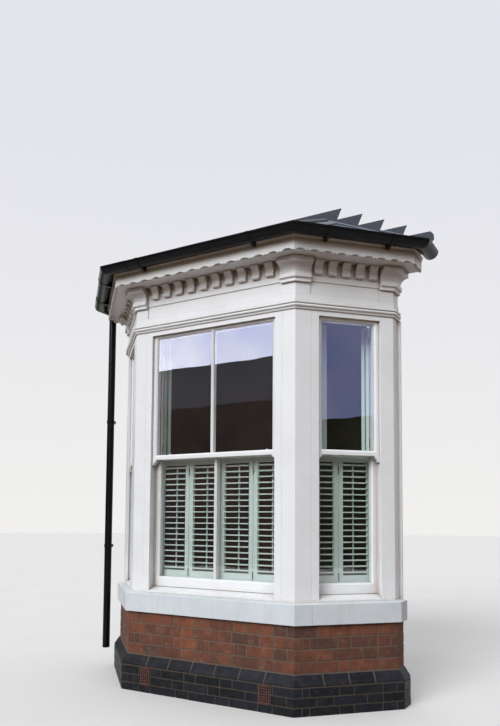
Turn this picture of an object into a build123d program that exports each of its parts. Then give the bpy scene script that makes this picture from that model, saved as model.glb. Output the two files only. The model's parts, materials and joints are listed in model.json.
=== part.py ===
from build123d import *
import math
import os

os.makedirs("parts", exist_ok=True)

# A canted bay of sliding sash windows, ground floor, from its brick foot to its slate roof.
# Millimetres, +Z up, ground at z = 0, the front faces -Y, the house wall is a plane at +Y.
# "Reach" is a distance outward from the outer faces of the corner posts.

# Plan, on the outer faces of the posts
front_width = 1480
cant_length = 792
cant_angle = 45
return_depth = 125

# Brick base, from the ground up
blue_course = 67
blue_courses = 3
plinth_reach = 75
splay_height = 84
splay_nose = 12
red_course = 84
red_courses = 4
brick_reach = 25
wall_thickness = 229
plaster_thickness = 15
floor_height = 285

# Air bricks in the front of the plinth
air_brick_width = 90
air_brick_height = 145
air_brick_depth = 65
air_brick_spacing = 1070
air_brick_sill = 56
air_hole = 11
air_hole_pitch = 19
air_holes_across = 4
air_holes_up = 6
air_duct_margin = 12

# Stone sill under the whole bay
stone_height = 150
stone_reach = 55
stone_weathering = 5
stone_back = 160
stone_joint = 3
stone_joint_place = 115
drip_width = 10
drip_depth = 8
drip_place = 40

# Timber sill on the stone
nose_height = 15
sill_slope_rise = 30
sill_slope_depth = 98

# Posts and window frames
frame_height = 2114
frame_depth = 160
corner_post_front = 108
corner_post_cant = 127
wall_post_width = 110
wall_post_flange = 50
cover_strip_width = 25
cover_strip_depth = 20
lining_width = 60
lining_thickness = 25
run_depth = 50
run_step = 14
parting_bead = 12
parting_step = 6
head_lining = 52
head_run = 14

# Sashes
sash_clearance = 2
sash_thickness = 50
stile_width = 48
top_rail = 36
meeting_rail = 39
meeting_rail_height = 1852
bottom_rail = 80
meeting_gap = 0.3
putty_bevel = 12
glass_thickness = 4
glass_setback = 16
glazing_bar = 27
horn_length = 45
horn_neck = 30
horn_tip = 22
fastener_place = 450
fastener_length = 46
fastener_width = 18
fastener_plate = 3
fastener_boss = 8
fastener_height = 14

# Shutters inside the windows
shutter_frame_width = 30
cant_shutter_left = 130
cant_shutter_margin = 104
leaf_thickness = 27
leaf_stile = 36
leaf_gap = 3
leaf_top_rail = 46
leaf_bottom_rail = 120
pin_depth = 203
pin_radius = 4
hinge_leaf = 14
knuckle_length = 30
hinge_inset = 110
seat_gap = 0.3
lower_leaf_bottom = 830
lower_leaf_top = 1861
upper_leaf_bottom = 1866
upper_leaf_top = 2893
louvre_width = 47
louvre_thickness = 8
louvre_count = 19
closed_tilt = 78
tilt_rod_width = 10
tilt_rod_thickness = 8
leaf_swing = 135

# Window board, ceiling and head beam
board_reach = 250
board_thickness = 25
frieze_thickness = 30
ceiling_height = 3100
ceiling_thickness = 18

# Architrave, frieze, corbels and modillions
architrave_height = 100
architrave_lap = 14
frieze_height = 255
panel_recess = 8
panel_height = 101
block_width = 115
corbel_height = 168
modillion_height = 102
modillion_width = 66
front_modillions = 10
cant_modillions = 5
front_modillion_pitch = 119
cant_modillion_pitch = 111

# Eaves
soffit_thickness = 18
fascia_reach = 190
fascia_thickness = 20
fascia_drop = 25
scallop_rise = 16
scallop_tip = 28
scallop_pieces = 4
notch_width = 8
notch_height = 12
front_scallops = 14
cant_scallops = 9
return_scallops = 2
crown_height = 32
crown_rise = 51

# Moulding profiles, as points of (reach, height above the foot); the middle three-point ones are arcs
architrave_foot_profile = ((0, 0), (10, 0), (14, 14))
architrave_bead = ((14, 14), (26, 25), (14, 36))
architrave_cap_profile = ((14, 36), (24, 44), (24, 59), (6, 59))
corbel_bands = ((0, 0), (20, 0), (20, 22), (36, 30), (36, 60), (24, 68))
corbel_hollow = ((24, 68), (42, 112), (84, 130))
corbel_cap_reach = 88
modillion_profile = (
    (0, 0), (20, 0), (30, 5), (32, 12), (32, 20), (24, 24), (26, 44), (32, 64), (41, 78), (52, 88), (60, 88),
)
crown_hollow = ((4, 0), (6.5, 17.5), (14, 26))

# Gutter and downpipe
gutter_radius = 56
gutter_wall = 3
gutter_reach = 262
gutter_drop = 7
stop_drop = 8
angle_arm = 120
angle_thickness = 3
bracket_width = 25
bracket_thickness = 5
bracket_arm = 21
bracket_drop = 72
bracket_toe = 10
bracket_front_place = 505
bracket_cant_margin = 150
pipe_radius = 34
pipe_wall = 3
pipe_from_wall = 60
pipe_foot = 140
clip_heights = (1094, 2300)
clip_height = 28
clip_thickness = 4
clip_ear = 24

# Roof
eave_rise = 125
eave_reach = 215
roof_rise = 413
deck_thickness = 22
slate_thickness = 12
slate_reach = 235
rafter_width = 47
rafter_depth = 75
rafter_pitch = 250
rafter_count = 5
lead = 3
hip_strip = 90
hip_roll = 20
apron_lap = 150
apron_upstand = 99
flashing_step = 88
flashing_run = 182
flashing_start = 94
flashing_lean = 40
flashing_steps = 5
flashing_ear = ((24, -27), (28, -67), (6, -95))

# Places worked out from the sizes
turn = math.radians(cant_angle)
square_turn = math.radians(90) - turn
half_front = front_width / 2
bay_half = half_front + cant_length * math.cos(turn)
projection = cant_length * math.sin(turn) + return_depth
gutter_edge = gutter_reach + gutter_radius + bracket_thickness
pin_offset = pin_radius + seat_gap
fold_depth = 2 * pin_offset + leaf_thickness
cant_shutter_right = cant_length - cant_shutter_margin
cant_leaf = (cant_shutter_right - cant_shutter_left) / 2
cant_pin_y = cant_shutter_right * math.sin(turn) + pin_depth * math.cos(turn)
shutter_overhang = cant_pin_y + cant_leaf + pin_radius - projection
wall_y = (projection + gutter_edge - shutter_overhang) / 2
face_y = wall_y - projection
knee_y = wall_y - return_depth

plinth_top = blue_course * blue_courses
splay_top = plinth_top + splay_height
base_top = splay_top + red_course * red_courses
stone_top = base_top + stone_height
sill_bed = stone_top + stone_weathering
sill_top = sill_bed + nose_height + sill_slope_rise
head = sill_top + frame_height
architrave_foot = head - architrave_lap
frieze_bottom = head + architrave_height
frieze_top = frieze_bottom + frieze_height
soffit_top = frieze_top + soffit_thickness
eave_height = soffit_top + eave_rise
ridge_height = eave_height + roof_rise
gutter_height = eave_height - gutter_drop
inner_reach = brick_reach - wall_thickness
opening_half = half_front - corner_post_front - lining_width
cant_clear_left = corner_post_cant + lining_width
cant_clear_right = cant_length - wall_post_width
cant_frame_right = cant_clear_right + wall_post_flange

front_face = Plane(origin=(0, face_y, 0), x_dir=(1, 0, 0), z_dir=(0, -1, 0))
cant_face = Plane(
    origin=(half_front, face_y, 0),
    x_dir=(math.cos(turn), math.sin(turn), 0),
    z_dir=(math.sin(turn), -math.cos(turn), 0),
)
return_face = Plane(origin=(bay_half, knee_y, 0), x_dir=(0, 1, 0), z_dir=(1, 0, 0))


def corner(reach):
    """The right front corner of the bay at a reach."""
    return (half_front + reach * math.tan(turn / 2), face_y - reach)


def knee(reach):
    """The right corner between the canted face and the return."""
    return (bay_half + reach, knee_y - reach * math.tan(square_turn / 2))


def on_cant(along, reach=0):
    """A point of the right canted side, along it from the front corner."""
    point = cant_face.origin + cant_face.x_dir * along + cant_face.z_dir * reach
    return (point.X, point.Y)


def bay_line(reach):
    """The plan line of the bay at a reach, from the left wall end to the right one."""
    right = [corner(reach), knee(reach), (bay_half + reach, wall_y)]
    return [(-x, y) for x, y in reversed(right)] + right


def bay_band(outer, inner, bottom, top):
    """A wall round the bay between two reaches."""
    with BuildPart() as band:
        with BuildSketch(Plane.XY.offset(bottom)):
            with BuildLine():
                Polyline(*bay_line(outer), *reversed(bay_line(inner)), close=True)
            make_face()
        extrude(amount=top - bottom)
    return band.part


def swept(section, points):
    """A section of (reach, height) carried along plan points, mitred at the corners."""
    (x0, y0), (x1, y1) = points[:2]
    run = math.hypot(x1 - x0, y1 - y0)
    ahead = ((x1 - x0) / run, (y1 - y0) / run)
    start = Plane(origin=(x0, y0, 0), x_dir=(ahead[1], -ahead[0], 0), z_dir=(-ahead[0], -ahead[1], 0))
    with BuildPart() as moulding:
        with BuildLine() as path:
            Polyline(*points)
        with BuildSketch(start):
            add(section)
        sweep(path=path.wire(), transition=Transition.RIGHT)
    return moulding.part


def section_plane(face, along):
    """The upright plane square to a face, on which x is the reach and y the height."""
    return Plane(origin=face.origin + face.x_dir * along, x_dir=face.z_dir, z_dir=-face.x_dir)


def corner_rectangle(left, right, bottom, top, mode=Mode.ADD):
    """A rectangle of the current sketch from its edges."""
    with Locations(((left + right) / 2, (bottom + top) / 2)):
        Rectangle(right - left, top - bottom, mode=mode)


def centred_places(count, pitch, middle):
    """Places at a pitch about a middle."""
    return [middle + (n - (count - 1) / 2) * pitch for n in range(count)]


def raised(profile, foot, outset=0):
    """The points of a profile, set on its foot."""
    return [(reach + outset, foot + height) for reach, height in profile]


def finish(piece, name):
    """Labels a finished piece and writes it."""
    piece.label = name
    export_step(piece, f"parts/{name}.step")


# Plinth of blue bricks, with a pocket and a duct for each air brick
plinth_band = bay_band(plinth_reach, inner_reach, 0, plinth_top)
plinth_face = front_face.offset(plinth_reach)
air_places = [-air_brick_spacing / 2, air_brick_spacing / 2]
air_middle = air_brick_sill + air_brick_height / 2
with BuildPart() as plinth_wall:
    add(plinth_band)
    with BuildSketch(plinth_face):
        with Locations(*[(x, air_middle) for x in air_places]):
            Rectangle(air_brick_width, air_brick_height)
    extrude(amount=-air_brick_depth, mode=Mode.SUBTRACT)
    with BuildSketch(plinth_face):
        with Locations(*[(x, air_middle) for x in air_places]):
            Rectangle(air_brick_width - 2 * air_duct_margin, air_brick_height - 2 * air_duct_margin)
    extrude(amount=-(plinth_reach - inner_reach), mode=Mode.SUBTRACT)
finish(plinth_wall.part, "plinth_wall")

with BuildPart() as air_bricks:
    with BuildSketch(plinth_face):
        with Locations(*[(x, air_middle) for x in air_places]):
            Rectangle(air_brick_width, air_brick_height)
            with GridLocations(air_hole_pitch, air_hole_pitch, air_holes_across, air_holes_up):
                Rectangle(air_hole, air_hole, mode=Mode.SUBTRACT)
    extrude(amount=-air_brick_depth)
finish(air_bricks.part, "air_bricks")

# Sloping course on the plinth
with BuildSketch() as splay_section:
    with BuildLine():
        Polyline(
            (plinth_reach, plinth_top),
            (plinth_reach, plinth_top + splay_nose),
            (brick_reach, splay_top),
            (inner_reach, splay_top),
            (inner_reach, plinth_top),
            close=True,
        )
    make_face()
splay_course = swept(splay_section.sketch, bay_line(0))
finish(splay_course, "splay_course")

# Red brick wall, with a thin upstand behind the stone
dwarf_band = bay_band(brick_reach, inner_reach, splay_top, base_top)
upstand_band = bay_band(-stone_back, inner_reach, base_top, sill_top - board_thickness)
with BuildPart() as dwarf_wall:
    add(dwarf_band)
    add(upstand_band)
finish(dwarf_wall.part, "dwarf_wall")

board_bed = sill_top - board_thickness
inner_plaster = bay_band(inner_reach, inner_reach - plaster_thickness, floor_height, board_bed)
finish(inner_plaster, "inner_plaster")

window_board = bay_band(-frame_depth, -board_reach, sill_top - board_thickness, sill_top)
finish(window_board, "window_board")

# Stone sill: three stones with a joint on each canted side
with BuildSketch() as stone_section:
    with BuildLine():
        Polyline(
            (stone_reach, base_top),
            (stone_reach, stone_top),
            (0, sill_bed),
            (-stone_back, sill_bed),
            (-stone_back, base_top),
            close=True,
        )
    make_face()
    corner_rectangle(drip_place - drip_width / 2, drip_place + drip_width / 2, base_top,
                     base_top + drip_depth, mode=Mode.SUBTRACT)
stone_run = swept(stone_section.sketch, bay_line(0))
with BuildPart() as stone_sill:
    add(stone_run)
    with BuildSketch(section_plane(cant_face, stone_joint_place)):
        corner_rectangle(-2 * stone_back, 2 * stone_reach, base_top - 1, sill_bed + 1)
    joint_cut = extrude(amount=stone_joint / 2, both=True, mode=Mode.SUBTRACT)
    mirror(joint_cut, about=Plane.YZ, mode=Mode.SUBTRACT)
finish(stone_sill.part, "stone_sill")

# Timber sill, weathered in front of the sashes
with BuildSketch() as sill_section:
    with BuildLine():
        Polyline(
            (0, sill_bed),
            (0, sill_bed + nose_height),
            (-sill_slope_depth, sill_top),
            (-frame_depth, sill_top),
            (-frame_depth, sill_bed),
            close=True,
        )
    make_face()
timber_sill = swept(sill_section.sketch, bay_line(0))
finish(timber_sill, "timber_sill")

# Posts, cut to the slope of the sill
with BuildPart() as corner_posts:
    with BuildSketch(Plane.XY.offset(sill_bed)):
        with BuildLine():
            Polyline(
                (half_front - corner_post_front, face_y),
                corner(0),
                on_cant(corner_post_cant),
                on_cant(corner_post_cant, -frame_depth),
                corner(-frame_depth),
                (half_front - corner_post_front, face_y + frame_depth),
                close=True,
            )
        make_face()
    extrude(amount=head - sill_bed)
    mirror(about=Plane.YZ)
    add(timber_sill, mode=Mode.SUBTRACT)
finish(corner_posts.part, "corner_posts")

with BuildPart() as wall_posts:
    with BuildSketch(Plane.XY.offset(sill_bed)):
        with BuildLine():
            inner_corner = on_cant(cant_frame_right, -frame_depth)
            Polyline(
                on_cant(cant_clear_right),
                knee(0),
                (bay_half, wall_y),
                (inner_corner[0], wall_y),
                inner_corner,
                on_cant(cant_frame_right, -lining_thickness),
                on_cant(cant_clear_right, -lining_thickness),
                close=True,
            )
        make_face()
    extrude(amount=head - sill_bed)
    with BuildSketch(Plane.XY.offset(sill_bed)):
        corner_rectangle(bay_half, bay_half + cover_strip_width, wall_y - cover_strip_depth, wall_y)
    extrude(amount=architrave_foot - sill_bed)
    mirror(about=Plane.YZ)
    add(timber_sill, mode=Mode.SUBTRACT)
finish(wall_posts.part, "wall_posts")


# Window frames: linings, sash runs and beads in layers from the outside in
def sash_frame(face, left, right, clear_left, clear_right, outer_right):
    """A window frame that stands on the timber sill."""
    lower_run = lining_thickness + run_depth + parting_bead
    layers = [
        (0, lining_thickness, 0, 0, outer_right),
        (lining_thickness, lining_thickness + run_depth, run_step, head_run, right),
        (lining_thickness + run_depth, lower_run, parting_step, 0, right),
        (lower_run, lower_run + run_depth, run_step, head_run, right),
        (lower_run + run_depth, frame_depth, 0, 0, right),
    ]
    with BuildPart() as frame:
        for outer, inner, step, head_step, far_edge in layers:
            with BuildSketch(face.offset(-inner)):
                corner_rectangle(left, far_edge, sill_bed, head)
                corner_rectangle(clear_left - step, clear_right + step, sill_bed,
                                 head - head_lining + head_step, mode=Mode.SUBTRACT)
            extrude(amount=inner - outer)
        add(timber_sill, mode=Mode.SUBTRACT)
    return frame.part


frame_half = half_front - corner_post_front
sash_frame_front = sash_frame(front_face, -frame_half, frame_half, -opening_half, opening_half, frame_half)
sash_frame_right = sash_frame(
    cant_face, corner_post_cant, cant_frame_right, cant_clear_left, cant_clear_right, cant_clear_right
)
finish(sash_frame_front, "sash_frame_front")
finish(sash_frame_right, "sash_frame_right")
finish(mirror(sash_frame_right, about=Plane.YZ), "sash_frame_left")


# Sashes and their glass
def pane_edges(left, right, bars):
    """The left and right edges of each pane of a sash."""
    inner_left = left + stile_width
    inner_right = right - stile_width
    if not bars:
        return [(inner_left, inner_right)]
    middle = (left + right) / 2
    return [(inner_left, middle - glazing_bar / 2), (middle + glazing_bar / 2, inner_right)]


def sash(face, left, right, bottom, top, outer, rails, lip, horns, bars):
    """A sash with bevelled glazing rebates; its meeting rail reaches over the parting bead."""
    low_rail, high_rail = rails
    lip_bottom, lip_front, lip_back = lip
    with BuildPart() as frame:
        with BuildSketch(face.offset(-outer - sash_thickness)):
            corner_rectangle(left, right, bottom, top)
            for pane_left, pane_right in pane_edges(left, right, bars):
                corner_rectangle(pane_left, pane_right, bottom + low_rail, top - high_rail,
                                 mode=Mode.SUBTRACT)
        extrude(amount=sash_thickness)
        outward = Axis(face.origin, face.z_dir)
        outside = frame.faces().filter_by(outward).sort_by(outward)[-1]
        chamfer(outside.inner_wires().edges(), putty_bevel)
        bead_inset = run_step - parting_step
        with BuildSketch(face.offset(-lip_back)):
            corner_rectangle(left + bead_inset, right - bead_inset, lip_bottom, lip_bottom + meeting_rail)
        extrude(amount=lip_back - lip_front)
        if horns:
            with BuildSketch(face.offset(-outer - sash_thickness)):
                for edge, side in ((left, 1), (right, -1)):
                    with BuildLine():
                        Polyline(
                            (edge + side * horn_tip, bottom - horn_length),
                            (edge, bottom - horn_length),
                            (edge, bottom),
                            (edge + side * stile_width, bottom),
                        )
                        RadiusArc(
                            (edge + side * stile_width, bottom),
                            (edge + side * horn_neck, bottom - horn_length / 2),
                            side * horn_length / 2,
                        )
                        RadiusArc(
                            (edge + side * horn_neck, bottom - horn_length / 2),
                            (edge + side * horn_tip, bottom - horn_length),
                            -side * horn_length / 2,
                        )
                    make_face()
            extrude(amount=sash_thickness)
    return frame.part


def window_sashes(face, clear_left, clear_right, bars):
    """The upper sash, the lower sash and the glass of one window."""
    left = clear_left - run_step + sash_clearance
    right = clear_right + run_step - sash_clearance
    upper_outer = lining_thickness
    lower_outer = lining_thickness + run_depth + parting_bead
    upper_top = head - head_lining + head_run - sash_clearance
    lower_top = meeting_rail_height + meeting_rail
    half_bead = lining_thickness + run_depth + parting_bead / 2
    upper = sash(
        face, left, right, meeting_rail_height, upper_top, upper_outer, (meeting_rail, top_rail),
        (meeting_rail_height, upper_outer + sash_thickness, half_bead - meeting_gap / 2), True, bars,
    )
    lower = sash(
        face, left, right, sill_top, lower_top, lower_outer, (bottom_rail, meeting_rail),
        (meeting_rail_height, half_bead + meeting_gap / 2, lower_outer), False, bars,
    )
    with BuildPart() as glass:
        for outer, bottom, top in (
            (upper_outer, meeting_rail_height + meeting_rail, upper_top - top_rail),
            (lower_outer, sill_top + bottom_rail, lower_top - meeting_rail),
        ):
            with BuildSketch(face.offset(-outer - glass_setback)):
                for pane_left, pane_right in pane_edges(left, right, bars):
                    corner_rectangle(pane_left, pane_right, bottom, top)
            extrude(amount=-glass_thickness)
    return upper, lower, glass.part


upper_front, lower_front, glass_front = window_sashes(front_face, -opening_half, opening_half, True)
upper_right, lower_right, glass_right = window_sashes(cant_face, cant_clear_left, cant_clear_right, False)
finish(upper_front, "upper_sash_front")
finish(lower_front, "lower_sash_front")
finish(glass_front, "glass_front")
for piece, name in ((upper_right, "upper_sash"), (lower_right, "lower_sash"), (glass_right, "glass")):
    finish(piece, f"{name}_right")
    finish(mirror(piece, about=Plane.YZ), f"{name}_left")

# Sash fasteners on the meeting rails of the front window
fastener_seat = meeting_rail_height + meeting_rail
lower_sash_middle = lining_thickness + run_depth + parting_bead + sash_thickness / 2
fastener_places = [(side * fastener_place, face_y + lower_sash_middle) for side in (-1, 1)]
with BuildPart() as sash_fasteners:
    with BuildSketch(Plane.XY.offset(fastener_seat)):
        with Locations(*fastener_places):
            Rectangle(fastener_length, fastener_width)
    extrude(amount=fastener_plate)
    with BuildSketch(Plane.XY.offset(fastener_seat)):
        with Locations(*fastener_places):
            RegularPolygon(fastener_boss, 8)
    extrude(amount=fastener_height)
finish(sash_fasteners.part, "sash_fasteners")


# Shutters: hinged pairs of louvred leaves, the lower tier shut and the upper tier folded back
tier_heights = ((lower_leaf_bottom, lower_leaf_top), (upper_leaf_bottom, upper_leaf_top))


def hinge_heights(bottom, top):
    """The heights of the middle of a leaf's two hinges."""
    return (bottom + hinge_inset, top - hinge_inset)


def hinge_half(place, side, towards):
    """The plan of a knuckle and its hinge leaf, which runs to one side and back to the timber."""
    x, depth = place
    with Locations(place):
        RegularPolygon(pin_radius, 6)
    corner_rectangle(min(x, x + side * hinge_leaf), max(x, x + side * hinge_leaf),
                     min(depth, depth + towards * pin_offset), max(depth, depth + towards * pin_offset))


def shutter_frame(face, left, right):
    """Three sides of a plain frame on the room side of a window, with its half of each right hinge."""
    outer = shutter_frame_width
    pin_line = Plane(origin=face.origin - face.z_dir * pin_depth, x_dir=face.x_dir, z_dir=(0, 0, 1))
    with BuildPart() as frame:
        with BuildSketch(face.offset(-pin_depth + pin_offset)):
            corner_rectangle(left - outer, right + outer, sill_top, head)
            corner_rectangle(left, right, sill_top, head - outer, mode=Mode.SUBTRACT)
        extrude(amount=pin_depth - pin_offset - frame_depth)
        for bottom, top in tier_heights:
            for height in hinge_heights(bottom, top):
                with BuildSketch(pin_line.offset(height - knuckle_length)):
                    hinge_half((right, 0), 1, -1)
                extrude(amount=knuckle_length - seat_gap)
    return frame.part


def louvred_leaf(width, bottom, top, tilt, first):
    """A leaf hung at x = 0 that runs along +x, its pin on the room side at z = 0, and its louvres."""
    edge = leaf_gap / 2
    middle = -pin_offset - leaf_thickness / 2
    zone_bottom = bottom + leaf_bottom_rail
    zone_top = top - leaf_top_rail
    with BuildPart() as leaf:
        with BuildSketch(Plane.XY.offset(-pin_offset - leaf_thickness)):
            corner_rectangle(edge, width - edge, bottom, top)
            corner_rectangle(edge + leaf_stile, width - edge - leaf_stile, zone_bottom, zone_top,
                             mode=Mode.SUBTRACT)
        extrude(amount=leaf_thickness)
        for height in hinge_heights(bottom, top):
            knuckle_end = height if first else height - seat_gap
            with BuildSketch(Plane.XZ.offset(-knuckle_end)):
                if first:
                    hinge_half((0, 0), 1, -1)
                    hinge_half((width, -fold_depth), -1, 1)
                else:
                    hinge_half((0, -fold_depth), 1, 1)
            extrude(amount=-knuckle_length if first else knuckle_length)
    lean = math.radians(tilt)
    slat_rise = louvre_width * math.sin(lean) + louvre_thickness * math.cos(lean)
    slat_reach = louvre_width / 2 * math.cos(lean) + louvre_thickness / 2 * math.sin(lean)
    zone = zone_top - zone_bottom
    pitch = min(zone / louvre_count, (zone - slat_rise - 2 * seat_gap) / (louvre_count - 1))
    heights = centred_places(louvre_count, pitch, (zone_bottom + zone_top) / 2)
    with BuildPart() as louvres:
        with BuildSketch(Plane(origin=(width / 2, 0, middle), x_dir=(0, 0, 1), z_dir=(-1, 0, 0))):
            with Locations(*[(0, height) for height in heights]):
                Rectangle(louvre_width, louvre_thickness, rotation=tilt)
        extrude(amount=width / 2 - edge - leaf_stile - seat_gap, both=True)
        with BuildSketch(Plane.XY.offset(middle + slat_reach + seat_gap)):
            corner_rectangle(width / 2 - tilt_rod_width / 2, width / 2 + tilt_rod_width / 2,
                             heights[0], heights[-1])
        extrude(amount=tilt_rod_thickness)
    return leaf.part, louvres.part


def leaf_pair(width, bottom, top, tilt, folded):
    """Two hinged leaves and their louvres; folded, the second lies on the window side of the first."""
    first = louvred_leaf(width, bottom, top, tilt, True)
    step = Location((width, 0, 0))
    second = [piece.moved(step) for piece in louvred_leaf(width, bottom, top, tilt, False)]
    if folded:
        fold_axis = Axis((width, 0, -fold_depth), (0, 1, 0))
        second = [piece.rotate(fold_axis, 180) for piece in second]
    return [first[0], second[0]], [first[1], second[1]]


def pair_place(face, along, swing):
    """The place of a pair hung at the right of a window: x along the leaf, z to the room."""
    angle = math.radians(swing)
    room = face.z_dir * -1
    pin = face.origin + face.x_dir * along + room * pin_depth
    return Plane(
        origin=pin,
        x_dir=face.x_dir * -math.cos(angle) + room * math.sin(angle),
        z_dir=room * math.cos(angle) + face.x_dir * math.sin(angle),
    ).location


front_shutter_half = frame_half - shutter_frame_width
front_leaf = front_shutter_half / 2
tiers = (
    ("lower", lower_leaf_bottom, lower_leaf_top, 0, 0),
    ("upper", upper_leaf_bottom, upper_leaf_top, closed_tilt, leaf_swing),
)
for name, bottom, top, tilt, swing in tiers:
    front_leaves, front_louvres = leaf_pair(front_leaf, bottom, top, tilt, swing > 0)
    front_spot = pair_place(front_face, front_shutter_half, swing)
    cant_leaves, cant_louvres = leaf_pair(cant_leaf, bottom, top, tilt, swing > 0)
    cant_spot = pair_place(cant_face, cant_shutter_right, swing)
    with BuildPart() as front_shutters:
        add([piece.moved(front_spot) for piece in front_leaves])
        mirror(about=Plane.YZ)
    finish(front_shutters.part, f"{name}_shutters_front")
    with BuildPart() as cant_shutters:
        add([piece.moved(cant_spot) for piece in cant_leaves])
    finish(cant_shutters.part, f"{name}_shutters_right")
    finish(mirror(cant_shutters.part, about=Plane.YZ), f"{name}_shutters_left")
    with BuildPart() as tier_louvres:
        add([piece.moved(front_spot) for piece in front_louvres])
        add([piece.moved(cant_spot) for piece in cant_louvres])
        mirror(about=Plane.YZ)
    finish(tier_louvres.part, f"{name}_louvres")

front_shutter_frame = shutter_frame(front_face, -front_shutter_half, front_shutter_half)
cant_shutter_frame = shutter_frame(cant_face, cant_shutter_left, cant_shutter_right)
with BuildPart() as shutter_frames:
    add(front_shutter_frame)
    add(cant_shutter_frame)
    mirror(about=Plane.YZ)
finish(shutter_frames.part, "shutter_frames")

# Architrave over the windows: a torus and a lip under a plain fascia
with BuildSketch() as architrave_section:
    with BuildLine():
        Polyline((0, head), *raised(architrave_foot_profile, architrave_foot))
        ThreePointArc(*raised(architrave_bead, architrave_foot))
        cap = raised(architrave_cap_profile, architrave_foot)
        Polyline(
            *cap,
            (cap[-1][0], frieze_bottom),
            (-frieze_thickness, frieze_bottom),
            (-frieze_thickness, head),
            (0, head),
        )
    make_face()
architrave = swept(architrave_section.sketch, bay_line(0))
finish(architrave, "architrave")

# Frieze with a sunk panel on each face
frieze_band = bay_band(0, -frieze_thickness, frieze_bottom, frieze_top)
with BuildPart() as frieze:
    add(frieze_band)
    with BuildSketch(front_face):
        corner_rectangle(block_width - half_front, half_front - block_width, frieze_bottom,
                         frieze_bottom + panel_height)
    extrude(amount=-panel_recess, mode=Mode.SUBTRACT)
    with BuildSketch(cant_face):
        corner_rectangle(block_width, cant_length - block_width, frieze_bottom, frieze_bottom + panel_height)
    cant_panel = extrude(amount=-panel_recess, mode=Mode.SUBTRACT)
    mirror(cant_panel, about=Plane.YZ, mode=Mode.SUBTRACT)
finish(frieze.part, "frieze")

# Corbels: moulded bands under a hollow and a cap, wrapped round the corners and the wall ends
corbel_foot = frieze_top - corbel_height
with BuildSketch() as corbel_section:
    with BuildLine():
        Polyline(*raised(corbel_bands, corbel_foot))
        hollow = raised(corbel_hollow, corbel_foot)
        ThreePointArc(*hollow)
        Polyline(
            hollow[-1],
            (corbel_cap_reach, hollow[-1][1]),
            (corbel_cap_reach, frieze_top),
            (0, frieze_top),
            (0, corbel_foot),
        )
    make_face()
corner_corbel = swept(
    corbel_section.sketch, [(half_front - block_width, face_y), corner(0), on_cant(block_width)]
)
wall_corbel = swept(
    corbel_section.sketch, [on_cant(cant_length - block_width), knee(0), (bay_half, wall_y)]
)
with BuildPart() as corner_corbels:
    add(corner_corbel)
    mirror(about=Plane.YZ)
finish(corner_corbels.part, "corner_corbels")
with BuildPart() as wall_corbels:
    add(wall_corbel)
    mirror(about=Plane.YZ)
finish(wall_corbels.part, "wall_corbels")

# Modillions under the soffit
modillion_points = raised(modillion_profile, frieze_top - modillion_height)
with BuildSketch() as modillion_section:
    with BuildLine():
        Polyline(*modillion_points, (modillion_points[-1][0], frieze_top), (0, frieze_top), close=True)
    make_face()

cant_middle = cant_length / 2
with BuildPart() as cant_modillion_row:
    for along in centred_places(cant_modillions, cant_modillion_pitch, cant_middle):
        with BuildSketch(section_plane(cant_face, along)):
            add(modillion_section.sketch)
    extrude(amount=modillion_width / 2, both=True)
    mirror(about=Plane.YZ)
with BuildPart() as modillions:
    for along in centred_places(front_modillions, front_modillion_pitch, 0):
        with BuildSketch(section_plane(front_face, along)):
            add(modillion_section.sketch)
    extrude(amount=modillion_width / 2, both=True)
    add(cant_modillion_row.part)
finish(modillions.part, "modillions")

soffit = bay_band(fascia_reach - fascia_thickness, -frieze_thickness, frieze_top, soffit_top)
finish(soffit, "soffit")


# Roof planes through each eave line and the end of the ridge at the wall
def roof_planes(lift):
    """The five roof planes, raised square to themselves by a lift."""
    peak = Vector(half_front, wall_y, ridge_height)
    plan = [(-corner(eave_reach)[0], corner(eave_reach)[1]), corner(eave_reach), knee(eave_reach)]
    plan.append((bay_half + eave_reach, wall_y))
    planes = []
    for (x0, y0), (x1, y1) in zip(plan, plan[1:]):
        low = Vector(x0, y0, eave_height)
        normal = (Vector(x1, y1, eave_height) - low).cross(peak - low).normalized()
        planes.append(Plane(origin=low + normal * lift, z_dir=normal))
    for slope in planes[1:]:
        origin = Vector(-slope.origin.X, slope.origin.Y, slope.origin.Z)
        normal = Vector(-slope.z_dir.X, slope.z_dir.Y, slope.z_dir.Z)
        planes = planes + [Plane(origin=origin, z_dir=normal)]
    return planes


def roof_block(lift, reach, bottom):
    """The solid under the raised roof planes, down to a height."""
    with BuildPart() as block:
        with BuildSketch(Plane.XY.offset(bottom)):
            with BuildLine():
                Polyline(*bay_line(reach), close=True)
            make_face()
        extrude(amount=ridge_height + roof_rise - bottom)
        for slope in roof_planes(lift):
            split(bisect_by=slope, keep=Keep.BOTTOM)
    return block.part


def roof_shell(top_lift, bottom_lift, reach):
    """A layer of the roof between two lifts."""
    upper = roof_block(top_lift, reach, soffit_top)
    lower = roof_block(bottom_lift, reach + 1, soffit_top - 1)
    with BuildPart() as shell:
        add(upper)
        add(lower, mode=Mode.SUBTRACT)
    return shell.part


def plan_strip(start, end, width):
    """The plan of a straight strip between two points, as a sketch."""
    run = math.hypot(end[0] - start[0], end[1] - start[1])
    angle = math.degrees(math.atan2(end[1] - start[1], end[0] - start[0]))
    with BuildSketch() as strip:
        with Locations(((start[0] + end[0]) / 2, (start[1] + end[1]) / 2)):
            Rectangle(run, width, rotation=angle)
    return strip.sketch


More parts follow.
